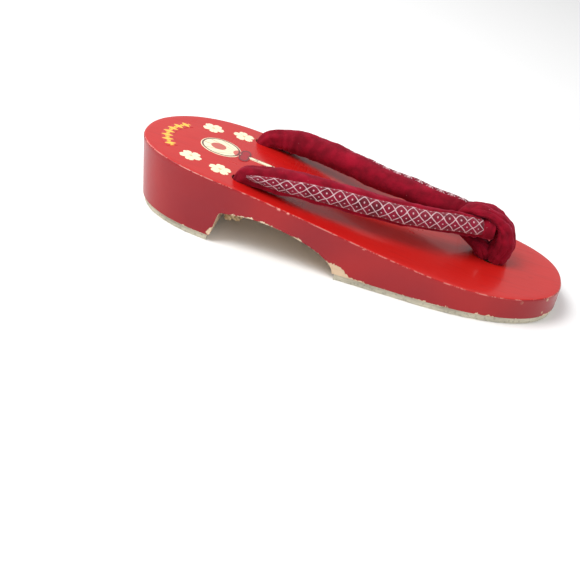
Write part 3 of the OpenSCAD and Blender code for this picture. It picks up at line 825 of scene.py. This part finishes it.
def strap_surface(s, degrees, side, lift=0.0):
    """Points of the padded strap's skin at shares s and angles in degrees, both flat arrays."""
    line, t = strap_place(s)
    out = np.stack([-t[:, 1], t[:, 0], np.zeros(len(s))], 1)
    out /= np.linalg.norm(out, axis=1)[:, None]
    up = np.cross(t, out)
    wide, thick, full = strap_section(s)
    a = np.radians(degrees)
    unit_out = out * np.cos(a)[:, None] + up * np.sin(a)[:, None]
    base = line + out * (wide * np.cos(a))[:, None] + up * (thick * np.sin(a))[:, None]
    lump = sizes().pile_lump / MM
    push = lumps(base, 9.0, 1.0 + side) * lump + lumps(base, 3.6, 4.0 + side) * lump * 0.4
    # Pleats where the tube is gathered at the hole, and cross creases where the loop grips the tip
    push += 0.55 * (1 - full) * np.cos(np.radians(degrees * 7 + 40 * side))
    grip = np.clip((s - 0.80) / 0.14, 0, 1)
    push += grip * 0.45 * np.sin(s * 190 + np.radians(degrees) * 2 + side) * (0.6 + lumps(base, 5.0, 9.0))
    bend = np.exp(-((s - 0.30) / 0.10) ** 2) * np.clip(-np.cos(a), 0, 1)
    push += bend * 0.30 * np.sin(s * 150 + side)
    low, high = band_edges(s)
    present = np.clip((s - 0.12) / 0.03, 0, 1) * np.clip((0.95 - s) / 0.03, 0, 1)
    for seam, depth in ((low, 0.55 * present), (high, 0.55 * present), (SEAM_ANGLE, 0.5)):
        away = (degrees - seam + 180) % 360 - 180
        push -= depth * np.exp(-(away / 7.0) ** 2)
    made = base + unit_out * (push * np.clip(full * 1.4, 0.35, 1) + lift)[:, None]
    in_hole = np.hypot(made[:, 0] - REAR_HOLE[0], made[:, 1] - REAR_HOLE[1]) < HOLE_R - 0.05
    made[:, 2] = np.where(in_hole, made[:, 2], np.maximum(made[:, 2], deck_z(made[:, 0]) + 0.15))
    made[:, 1] *= side
    return swayed(made)


def grid(rows, columns):
    a, b = np.meshgrid(rows, columns, indexing="ij")
    return a.ravel(), b.ravel()


def word_for(side):
    return "left" if side > 0 else "right"


def tube_piece(name, points, rings, sides, ends, material):
    """A closed tube from rings of points, with a fan of faces about the end point of each end."""
    first, last, base = len(points), len(points) + 1, (rings - 1) * sides
    faces = loft_faces(rings, sides)
    faces += [(first, (i + 1) % sides, i) for i in range(sides)]
    faces += [(last, base + i, base + (i + 1) % sides) for i in range(sides)]
    piece = make_piece(name, np.vstack([points, ends]), faces, material)
    point_out(piece)
    return piece


def build_strap(side):
    """A padded velvet tube from its hole to the loop."""
    rings, sides = 240, 72
    s, a = grid(np.linspace(0, 1, rings), np.linspace(0, 360, sides, endpoint=False))
    points = strap_surface(s, a, side)
    ends = [points[:sides].mean(0), points[-sides:].mean(0)]
    word = word_for(side)
    strap = tube_piece(word + "_velvet_strap", points, rings, sides, ends,
                       bpy.data.materials.get("crimson_velvet") or velvet_material())
    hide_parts(word + "_strap_cover", word + "_strap_padding")
    return strap


def build_band(side):
    """The patterned strip sewn on the strap's outer upper side, with its edges turned under."""
    rows, columns = 260, 26
    s, v = grid(np.linspace(BAND_START, BAND_END, rows), np.linspace(0, 1, columns))
    low, high = band_edges(s)
    a = low + (high - low) * v
    tuck = 1 - np.abs(2 * v - 1) ** 5
    ends = np.clip(np.minimum(s - BAND_START, BAND_END - s) / 0.012, 0, 1)
    top = strap_surface(s, a, side, 0.55 * tuck * ends - 0.30 * (1 - tuck * ends))
    under = strap_surface(s, a, side, -0.55)
    line, _ = strap_place(np.linspace(BAND_START, BAND_END, rows))
    gone = np.concatenate([[0], np.cumsum(np.linalg.norm(np.diff(line, axis=0), axis=1))])
    u = np.repeat(gone, columns) * MM / sizes().diamond
    n = rows * columns
    faces = loft_faces(rows, columns, closed=False)
    faces += [tuple(n + i for i in f[::-1]) for f in faces]
    for r in range(rows - 1):
        for c in (0, columns - 1):
            i = r * columns + c
            faces.append((i, i + columns, n + i + columns, n + i))
    for base in (0, (rows - 1) * columns):
        faces += [(base + c, base + c + 1, n + base + c + 1, n + base + c) for c in range(columns - 1)]
    uv = np.tile(np.stack([u, v], 1), (2, 1))
    word = word_for(side)
    band = make_piece(word + "_patterned_band", np.vstack([top, under]), faces,
                      bpy.data.materials.get("diamond_patterned_cloth") or band_material(),
                      uv=uv)
    point_out(band)
    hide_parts(word + "_strap_band")
    return band


def build_loop():
    """The velvet front thong: flat over the straps, then pleated into a full fold on the deck."""
    rings, sides = 230, 112
    s, a = grid(np.linspace(0, 1, rings), np.linspace(0, 360, sides, endpoint=False))
    line, t = curve_at(LOOP_LINE, s), heading_at(LOOP_LINE, s)
    out = np.tile([0.0, 1.0, 0.0], (len(s), 1))
    up = np.cross(t, out)
    rad = np.radians(a)
    wide, thick = np.interp(s, *LOOP_WIDE), np.interp(s, *LOOP_THICK)
    base = line + out * (wide * np.cos(rad))[:, None] + up * (thick * np.sin(rad))[:, None]
    away = out * np.cos(rad)[:, None] + up * np.sin(rad)[:, None]
    over = np.clip((s - 0.44) / 0.1, 0, 1) * np.clip((1.02 - s) / 0.06, 0, 1)
    over = over + np.clip((0.22 - s) / 0.06, 0, 1)
    lean = rad + 0.9 * (s - 0.7) + 0.25 * lumps(base, 8.0, 2.0)
    pleats = 1 - np.abs(np.sin(lean * 4.5)) ** 0.6
    neck = np.exp(-((s - 0.70) / 0.03) ** 2)
    push = over * (0.75 * (0.5 - pleats)) - neck * 0.55
    push = push + 0.40 * lumps(base, 6.0, 6.0) + 0.15 * lumps(base, 2.4, 8.0)
    points = base + away * (push * np.clip((thick - 1.2) / 2, 0.2, 1))[:, None]
    points[:, 2] = np.maximum(points[:, 2], deck_z(points[:, 0]) + 0.12)
    points = swayed(points)
    ends = [points[:sides].mean(0), points[-sides:].mean(0)]
    loop = tube_piece("velvet_front_thong", points, rings, sides, ends,
                      bpy.data.materials.get("crimson_velvet") or velvet_material())
    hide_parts("toe_loop_cover", "toe_loop_cord")
    return loop


def build_cord(side):
    """The twisted cord in a strap: up through the rear hole and forward to the front thong."""
    rise = [[REAR_HOLE[0], REAR_HOLE[1], z] for z in np.linspace(ARCH_TOP - 3.5, STRAP_LINE[0][2] - 1.0, 10)]
    path = np.vstack([rise, strap_place(np.linspace(0, 0.97, 190))[0]]) * np.array([1, side, 1])
    path = swayed(path)
    ahead = np.gradient(path, axis=0)
    ahead /= np.linalg.norm(ahead, axis=1)[:, None]
    out = np.array([0.0, 1.0, 0.0]) - ahead * ahead[:, 1:2]
    out /= np.linalg.norm(out, axis=1)[:, None]
    up = np.cross(ahead, out)
    gone = np.concatenate([[0], np.cumsum(np.linalg.norm(np.diff(path, axis=0), axis=1))])
    sides = 24
    k, a = grid(np.arange(len(path)), np.linspace(0, 360, sides, endpoint=False))
    k, rad = k.astype(int), np.radians(a)
    reach = CORD_R * (0.90 + 0.09 * np.cos(3 * rad + gone[k] * 0.8))
    points = path[k] + (out[k] * np.cos(rad)[:, None] + up[k] * np.sin(rad)[:, None]) * reach[:, None]
    word = word_for(side)
    cord = tube_piece(word + "_twisted_cord", points, len(path), sides, [path[0], path[-1]],
                      bpy.data.materials["twisted_hemp"])
    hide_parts(word + "_strap_cord")
    return cord


def build_knot(side):
    """An overhand knot in the cord's end under the arch."""
    t = np.linspace(0, math.tau, 160, endpoint=False)
    centre = np.array([REAR_HOLE[0], side * REAR_HOLE[1], ARCH_TOP - 1.0 - KNOT_DROP])
    path = KNOT_SIZE * np.stack([
        np.sin(t) + 2 * np.sin(2 * t), np.cos(t) - 2 * np.cos(2 * t), -np.sin(3 * t) * 1.35], 1)
    ahead = np.roll(path, -1, 0) - np.roll(path, 1, 0)
    ahead /= np.linalg.norm(ahead, axis=1)[:, None]
    flat = np.cross(ahead, np.array([0, 0, 1.0]))
    flat /= np.linalg.norm(flat, axis=1)[:, None]
    up = np.cross(ahead, flat)
    sides = 24
    rings = []
    for i in range(len(t)):
        a = np.linspace(0, math.tau, sides, endpoint=False)
        strand = 1 + 0.10 * np.cos(3 * a + t[i] * 18)
        around = np.outer(np.cos(a), flat[i]) + np.outer(np.sin(a), up[i])
        rings.append(path[i] + KNOT_TUBE * strand[:, None] * around)
    rings.append(rings[0])
    points = np.concatenate(rings) + centre
    word = word_for(side)
    knot = make_piece(word + "_cord_knot", points, loft_faces(len(rings), sides),
                      bpy.data.materials["twisted_hemp"])
    point_out(knot)
    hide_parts(word + "_rear_knot")
    return knot


def tack_mesh(radius, drop):
    """A domed tack head with its shank, about the origin: the dome looks down."""
    dome = [(radius * r, -drop * z) for r, z in ((0.0, 1.0), (0.45, 0.93), (0.8, 0.62), (1.0, 0.2))]
    profile = dome + [(radius, 0.0), (0.7, 0.0), (0.7, 5.5), (0.0, 6.2)]
    sides = 28
    a = np.linspace(0, math.tau, sides, endpoint=False)
    points = [(r * math.cos(k), r * math.sin(k), z) for r, z in profile for k in a]
    mesh = bpy.data.meshes.new("tack_form")
    mesh.from_pydata([tuple(c * MM for c in p) for p in points], [], loft_faces(len(profile), sides))
    face_outwards(mesh, 1e-6)
    mesh.shade_smooth()
    return mesh


def repeat_tree(name, spin_seed):
    """Geometry Nodes: a form set at each point of a mesh and turned along the point's own direction."""
    tree = bpy.data.node_groups.new(name, "GeometryNodeTree")
    face = tree.interface
    face.new_socket("Geometry", in_out="INPUT", socket_type="NodeSocketGeometry")
    face.new_socket("Form", in_out="INPUT", socket_type="NodeSocketObject")
    face.new_socket("Material", in_out="INPUT", socket_type="NodeSocketMaterial")
    size = face.new_socket("Size spread", in_out="INPUT", socket_type="NodeSocketFloat")
    size.default_value = 0.1
    face.new_socket("Geometry", in_out="OUTPUT", socket_type="NodeSocketGeometry")
    new = tree.nodes.new
    into, out = new("NodeGroupInput"), new("NodeGroupOutput")
    form, turn = new("GeometryNodeObjectInfo"), new("GeometryNodeInputNamedAttribute")
    turn.data_type = "FLOAT_VECTOR"
    turn.inputs["Name"].default_value = "ahead"
    face_up = new("GeometryNodeInputNamedAttribute")
    face_up.data_type = "FLOAT_VECTOR"
    face_up.inputs["Name"].default_value = "outward"
    along, upright = new("FunctionNodeAlignRotationToVector"), new("FunctionNodeAlignRotationToVector")
    along.axis, upright.axis, upright.pivot_axis = "X", "Z", "X"
    spread, low, high = new("FunctionNodeRandomValue"), new("ShaderNodeMath"), new("ShaderNodeMath")
    low.operation, high.operation = "SUBTRACT", "ADD"
    low.inputs[0].default_value = high.inputs[0].default_value = 1.0
    points, place = new("GeometryNodeMeshToPoints"), new("GeometryNodeInstanceOnPoints")
    real, paint = new("GeometryNodeRealizeInstances"), new("GeometryNodeSetMaterial")
    link = tree.links.new
    link(into.outputs["Geometry"], points.inputs["Mesh"])
    link(points.outputs[0], place.inputs["Points"])
    link(into.outputs["Form"], form.inputs["Object"])
    link(form.outputs["Geometry"], place.inputs["Instance"])
    link(turn.outputs[0], along.inputs["Vector"])
    link(along.outputs[0], upright.inputs["Rotation"])
    link(face_up.outputs[0], upright.inputs["Vector"])
    link(upright.outputs[0], place.inputs["Rotation"])
    link(into.outputs["Size spread"], low.inputs[1])
    link(into.outputs["Size spread"], high.inputs[1])
    link(low.outputs[0], spread.inputs[2])
    link(high.outputs[0], spread.inputs[3])
    spread.inputs["Seed"].default_value = spin_seed
    link(spread.outputs[1], place.inputs["Scale"])
    link(place.outputs[0], real.inputs[0])
    link(real.outputs[0], paint.inputs["Geometry"])
    link(into.outputs["Material"], paint.inputs["Material"])
    link(paint.outputs[0], out.inputs[0])
    return tree


def repeat(name, places, ahead, outward, form_mesh, material, spread, seed):
    """One plain mesh with the form repeated at places in millimetres."""
    mesh = bpy.data.meshes.new(name)
    mesh.from_pydata([tuple(p) for p in metres(places)], [], [])
    for key, rows in (("ahead", ahead), ("outward", outward)):
        made = mesh.attributes.new(key, "FLOAT_VECTOR", "POINT")
        made.data.foreach_set("vector", np.asarray(rows, np.float32).ravel())
    piece = bpy.data.objects.new(name, mesh)
    bpy.context.scene.collection.objects.link(piece)
    form = bpy.data.objects.new(name + "_form", form_mesh)
    bpy.context.scene.collection.objects.link(form)
    tree = repeat_tree(name + "_layout", seed)
    mod = piece.modifiers.new("layout", "NODES")
    mod.node_group = tree
    ids = {item.name: item.identifier for item in tree.interface.items_tree if item.in_out == "INPUT"}
    mod[ids["Form"]] = form
    mod[ids["Material"]] = material
    mod[ids["Size spread"]] = spread
    settle(piece)
    bpy.data.objects.remove(form)
    piece.data.shade_smooth()
    return piece


def build_tacks(name, node, places, head_r, top_z):
    steel = bpy.data.materials.get("dull_steel") or metal_material(
        "dull_steel", (0.55, 0.53, 0.50), (0.20, 0.10, 0.05))
    n = len(places)
    tacks = repeat(name, [(x, y, top_z) for x, y in places], [(1, 0, 0)] * n, [(0, 0, 1)] * n,
                   tack_mesh(head_r, 0.8), steel, 0.0, 3)
    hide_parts(node)
    return tacks


def stitch_mesh():
    """One short slanted stitch: a thread that dips at both ends."""
    steps, sides = 7, 6
    t = np.linspace(-1, 1, steps)
    a = np.linspace(0, math.tau, sides, endpoint=False)
    points = [(k * 1.0, k * 0.35 + 0.19 * math.cos(b), 0.28 * (1 - k * k) - 0.12 + 0.19 * math.sin(b))
              for k in t for b in a]
    first, last = range(sides), range((steps - 1) * sides, steps * sides)
    faces = loft_faces(steps, sides) + [tuple(first)[::-1], tuple(last)]
    mesh = bpy.data.meshes.new("stitch_form")
    mesh.from_pydata([tuple(c * MM for c in p) for p in points], [], faces)
    face_outwards(mesh, 1e-7)
    return mesh


def build_stitches():
    """Hand stitches that close each strap's velvet along its underside."""
    pitch = sizes().stitch_pitch / MM
    thread = Finish("crimson_thread")
    colour = thread.mix(thread.noise(800.0, 2.0), (0.20, 0.004, 0.02), (0.42, 0.02, 0.06))
    thread = thread.done(Base_Color=colour, Roughness=0.6, Sheen_Weight=0.3)
    for side in (-1, 1):
        fine = np.linspace(0.10, 0.93, 600)
        line = strap_surface(fine, np.full(600, SEAM_ANGLE), side, SEAM_LIFT)
        gone = np.concatenate([[0], np.cumsum(np.linalg.norm(np.diff(line, axis=0), axis=1))])
        s = np.interp(np.arange(0, gone[-1], pitch), gone, fine)
        seam = np.full(len(s), SEAM_ANGLE)
        at = strap_surface(s, seam, side, SEAM_LIFT)
        ahead = strap_surface(s + 0.01, seam, side) - strap_surface(s - 0.01, seam, side)
        middle = swayed(strap_place(s)[0] * np.array([1, side, 1]))
        row = repeat(word_for(side) + "_seam_stitches", at, ahead, at - middle, stitch_mesh(), thread,
                     0.15, 7)
        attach(row, "root")


def film(name, shape_points, faces, border, uv, material, node):
    """A thin closed sticker that follows the deck."""
    plan = np.asarray(shape_points, float)
    n = len(plan)
    soft = np.clip(np.asarray(border) / 0.12, 0, 1) * FILM_EDGE
    top = np.column_stack([plan, deck_z(plan[:, 0]) + FILM_T - FILM_EDGE + soft])
    low = np.column_stack([plan, deck_z(plan[:, 0])])
    whole = list(faces) + [tuple(n + i for i in f[::-1]) for f in faces]
    edges = {}
    for f in faces:
        for i, a in enumerate(f):
            b = f[(i + 1) % len(f)]
            edges[(a, b)] = edges.get((a, b), 0) + 1
    for a, b in list(edges):
        if (b, a) not in edges:
            whole.append((b, a, n + a, n + b))
    piece = make_piece(name, np.vstack([top, low]), whole, material, 40,
                       uv=np.tile(uv, (2, 1)), uv_name="print")
    write_attribute(piece.data, "border", np.tile(border, 2))
    point_out(piece)
    if node:
        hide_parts(node)
    return piece


def radial_patch(centre, radius_at, scale, first, turn=0.0, rings=12, sides=180):
    """A round-edged shape about a centre, in rings: points, faces, border distance and UV."""
    a = np.linspace(0, math.tau, sides, endpoint=False)
    reach = radius_at(a)
    points, border, uv = [centre], [float(reach.min())], [(0.0, 0.0)]
    for k in range(1, rings + 1):
        share = (k / rings) ** 0.75
        r = reach * share
        points += [(centre[0] + x * math.cos(b + turn), centre[1] + x * math.sin(b + turn))
                   for x, b in zip(r, a)]
        border += list(reach - r)
        uv += [(x * math.cos(b) / scale, x * math.sin(b) / scale) for x, b in zip(r, a)]
    faces = [(first, first + 1 + i, first + 1 + (i + 1) % sides) for i in range(sides)]
    for k in range(rings - 1):
        base = first + 1 + k * sides
        faces += [(base + i, base + sides + i, base + sides + (i + 1) % sides, base + (i + 1) % sides)
                  for i in range(sides)]
    return points, faces, border, uv


def petals(a):
    """Edge of a five-petalled blossom, each petal with a small notch."""
    t = np.abs(((a * 5 / math.tau) % 1.0) - 0.5) * 2
    return 5.2 * (0.46 + 0.54 * (1 - t ** 2.2) ** 0.5) - 0.40 * np.exp(-(t / 0.13) ** 2)


def build_blossoms():
    points, faces, border, uv = [], [], [], []
    for k, (x, y) in enumerate(((26, -20), (40.5, -23.5), (26.5, 20.5), (41, 23.5))):
        p, f, b, u = radial_patch((x, y), petals, 5.0, len(points), turn=0.4 + 0.7 * k)
        points, faces, border, uv = points + p, faces + f, border + b, uv + u
    return film("blossom_prints", points, faces, np.array(border), np.array(uv),
                sticker_material("cream_print", tuple(colours().cream), extra=blossom_print),
                "blossom_stickers")


def handle_edge(a):
    """Edge of the handle, a rounded bar 17 long and 3 wide, seen from its middle."""
    half_long, half_wide = 8.4, 1.5
    c, s = np.abs(np.cos(a)), np.abs(np.sin(a))
    return 1 / ((c / half_long) ** 6 + (s / half_wide) ** 6) ** (1 / 6)


def bow_edge(a):
    """Edge of a ribbon bow: two round loops beside a small middle."""
    return 1.7 + 5.2 * np.abs(np.sin(a)) ** 1.3 * (0.80 + 0.20 * np.cos(4 * a))


def build_fan():
    """A round paper fan with its handle, and a ribbon bow where they meet."""
    cream = tuple(colours().cream)
    ink = (0.10, 0.02, 0.02)
    p, f, b, u = radial_patch(FAN_PLACE, lambda a: np.full(len(a), FAN_R), FAN_R, 0, rings=26, sides=240)
    paper = sticker_material("fan_print", cream, ink, fan_print)
    fan = film("fan_print", p, f, np.array(b), np.array(u), paper, "fan_sticker")
    p, f, b, u = radial_patch((52.5, 1), handle_edge, 9.0, 0, rings=14, sides=260)
    handle = film("fan_handle", p, f, np.array(b), np.array(u),
                  sticker_material("handle_print", cream, ink), None)
    p, f, b, u = radial_patch((46.6, 1), bow_edge, 6.0, 0, rings=14, sides=200)
    bow = film("fan_bow", p, f, np.array(b), np.array(u),
               sticker_material("bow_print", (0.36, 0.004, 0.016), ink), None)
    raise_piece(bow, 0.06)
    for piece in (fan, handle, bow):
        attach(piece, "root")


def raise_piece(piece, height):
    piece.data.transform(Matrix.Translation((0, 0, height * MM)))


def build_strip():
    """A curved ornament across the heel: diamonds and dots."""
    rows, columns = 120, 12
    t, v = grid(np.linspace(-STRIP_TURN, STRIP_TURN, rows), np.linspace(0, 1, columns))
    r = STRIP_R + STRIP_WIDE * v
    a = np.radians(t)
    points = np.stack([STRIP_CENTRE - r * np.cos(a), r * np.sin(a)], 1)
    faces = loft_faces(rows, columns, closed=False)
    border = np.minimum(np.minimum(v, 1 - v) * STRIP_WIDE, (STRIP_TURN - np.abs(t)) * 0.4)
    uv = np.stack([(t + STRIP_TURN) / (2 * STRIP_TURN), v], 1)
    return film("heel_ornament", points, faces, border, uv,
                sticker_material("yellow_print", tuple(colours().gold), extra=strip_print),
                "heel_strip_sticker")


# ---------------------------------------------------------------- operators

class CLOG_OT_block(bpy.types.Operator):
    """Carve and lacquer the wooden block"""
    bl_idname, bl_label = "clog.block", "Wooden block"

    def execute(self, context):
        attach(build_block(), "root")
        return {"FINISHED"}


class CLOG_OT_soles(bpy.types.Operator):
    """Glue on the rubber soles and set their tacks and the front cap"""
    bl_idname, bl_label = "clog.soles", "Soles and tacks"

    def execute(self, context):
        heel, front = heel_tack_places(), front_tack_places()
        heel_end, front_start = HEEL_BLOCK - SOLE_SETBACK, FRONT_BLOCK + SOLE_SETBACK
        cap_place = (FRONT_HOLE, 0.0)
        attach(build_sole("heel_rubber", "heel_outsole", 0.0, heel_end, heel, None), "root")
        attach(build_sole("front_rubber", "front_outsole", front_start, LENGTH, front, cap_place), "root")
        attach(build_tacks("heel_tacks", "heel_sole_tacks", heel, TACK_HEAD_R, TACK_SEAT), "root")
        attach(build_tacks("front_tacks", "front_sole_tacks", front, TACK_HEAD_R, TACK_SEAT), "root")
        turn = [math.radians(a) for a in (45, 135, 225, 315)]
        cap = [(FRONT_HOLE + CAP_TACK_RING * math.cos(a), CAP_TACK_RING * math.sin(a)) for a in turn]
        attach(build_tacks("cap_tacks", "front_cap_tacks", cap, CAP_TACK_R, CAP_LOW), "root")
        sheet = metal_material("cap_sheet", (0.62, 0.60, 0.56), (0.24, 0.13, 0.07))
        dress_cad_node("front_hole_cap", sheet, 0.00015)
        return {"FINISHED"}


def dress_cad_node(node, material, bevel=0.0):
    """A better material, and a small edge, on a node whose shape stays."""
    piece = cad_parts[node]
    piece.data.materials.clear()
    piece.data.materials.append(material)
    if bevel:
        weld = piece.modifiers.new("weld", "WELD")
        weld.merge_threshold = 1e-6
        edge = piece.modifiers.new("edge", "BEVEL")
        edge.width, edge.segments, edge.limit_method = bevel, 2, "ANGLE"
        edge.angle_limit = math.radians(40)


class CLOG_OT_cords(bpy.types.Operator):
    """Finish the cords and their knots"""
    bl_idname, bl_label = "clog.cords", "Cords and knots"

    def execute(self, context):
        hemp = fibre_material("twisted_hemp", (0.62, 0.47, 0.28), (0.27, 0.17, 0.08), 420.0)
        dress_cad_node("front_knot", hemp)
        for side in (-1, 1):
            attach(build_cord(side), "root")
            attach(build_knot(side), "root")
        return {"FINISHED"}


class CLOG_OT_thong(bpy.types.Operator):
    """Sew the padded velvet straps, their patterned bands and the front thong"""
    bl_idname, bl_label = "clog.thong", "Velvet thong"

    def execute(self, context):
        for side in (-1, 1):
            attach(build_strap(side), "root")
            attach(build_band(side), "root")
        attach(build_loop(), "root")
        build_stitches()
        return {"FINISHED"}


class CLOG_OT_stickers(bpy.types.Operator):
    """Lay the printed stickers on the heel"""
    bl_idname, bl_label = "clog.stickers", "Heel stickers"

    def execute(self, context):
        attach(build_blossoms(), "root")
        build_fan()
        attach(build_strip(), "root")
        return {"FINISHED"}


class CLOG_OT_stage(bpy.types.Operator):
    """Set the pale floor, the soft lights and the camera"""
    bl_idname, bl_label = "clog.stage", "Floor, lights and camera"

    def execute(self, context):
        mesh = bpy.data.meshes.new("floor")
        corners = [(x * FLOOR_HALF, y * FLOOR_HALF, 0) for x, y in ((-1, -1), (1, -1), (1, 1), (-1, 1))]
        mesh.from_pydata(corners, [], [(0, 1, 2, 3)])
        paper = Finish("pale_floor")
        paper = paper.done(Base_Color=(0.90, 0.90, 0.90), Roughness=0.85, Specular_IOR_Level=0.2)
        mesh.materials.append(paper)
        floor = bpy.data.objects.new("floor", mesh)
        context.scene.collection.objects.link(floor)
        world = bpy.data.worlds.new("studio")
        world.use_nodes = True
        world.node_tree.nodes["Background"].inputs[0].default_value = (1.0, 1.0, 1.0, 1.0)
        world.node_tree.nodes["Background"].inputs[1].default_value = SKY_LIGHT
        context.scene.world = world
        context.scene.view_settings.view_transform = "Standard"
        for name, place, aim, size, watts in (
                ("key", (-0.45, -0.30, 0.75), (0.0, 0.0, 0.0), 0.50, 7.0),
                ("fill", (0.75, -0.65, 0.50), (0.05, 0.0, 0.0), 0.8, 2.5),
                ("back", (-0.65, 0.55, 0.60), (0.0, 0.0, 0.0), 0.5, 2.5)):
            lamp = bpy.data.lights.new(name, "AREA")
            lamp.size, lamp.energy = size, watts
            holder = bpy.data.objects.new(name, lamp)
            holder.location = place
            holder.rotation_euler = (Vector(aim) - Vector(place)).to_track_quat("-Z", "Y").to_euler()
            context.scene.collection.objects.link(holder)
        data = bpy.data.cameras.new("camera")
        data.lens, data.sensor_width = 72.25, 36.0
        data.clip_start = 0.01
        camera = bpy.data.objects.new("camera", data)
        ahead, up = Vector(CAMERA_AHEAD).normalized(), Vector(CAMERA_UP)
        right = ahead.cross(up).normalized()
        up = right.cross(ahead)
        turn = Matrix((right, up, -ahead)).transposed().to_4x4()
        camera.matrix_world = Matrix.Translation(CAMERA_PLACE) @ turn
        context.scene.collection.objects.link(camera)
        context.scene.camera = camera
        return {"FINISHED"}


class CLOG_PT_panel(bpy.types.Panel):
    """The clog's sizes, colours and steps"""
    bl_label = "Wooden clog"
    bl_idname = "CLOG_PT_panel"
    bl_space_type, bl_region_type, bl_category = "VIEW_3D", "UI", "Clog"

    def draw(self, context):
        for group in (context.scene.clog_sizes, context.scene.clog_colours):
            for key in group.bl_rna.properties.keys():
                if key not in ("rna_type", "name"):
                    self.layout.prop(group, key)
        for step in STEPS:
            self.layout.operator(step.bl_idname)


STEPS = (CLOG_OT_stage, CLOG_OT_block, CLOG_OT_soles, CLOG_OT_cords, CLOG_OT_thong, CLOG_OT_stickers)
CLASSES = (ClogSizes, ClogColours, *STEPS, CLOG_PT_panel)


def register():
    for item in CLASSES:
        bpy.utils.register_class(item)
    bpy.types.Scene.clog_sizes = bpy.props.PointerProperty(type=ClogSizes)
    bpy.types.Scene.clog_colours = bpy.props.PointerProperty(type=ClogColours)


def unregister():
    del bpy.types.Scene.clog_colours
    del bpy.types.Scene.clog_sizes
    for item in reversed(CLASSES):
        bpy.utils.unregister_class(item)


def main():
    register()
    for step in STEPS:
        group, name = step.bl_idname.split(".")
        getattr(getattr(bpy.ops, group), name)()


if __name__ == "__main__":
    main()
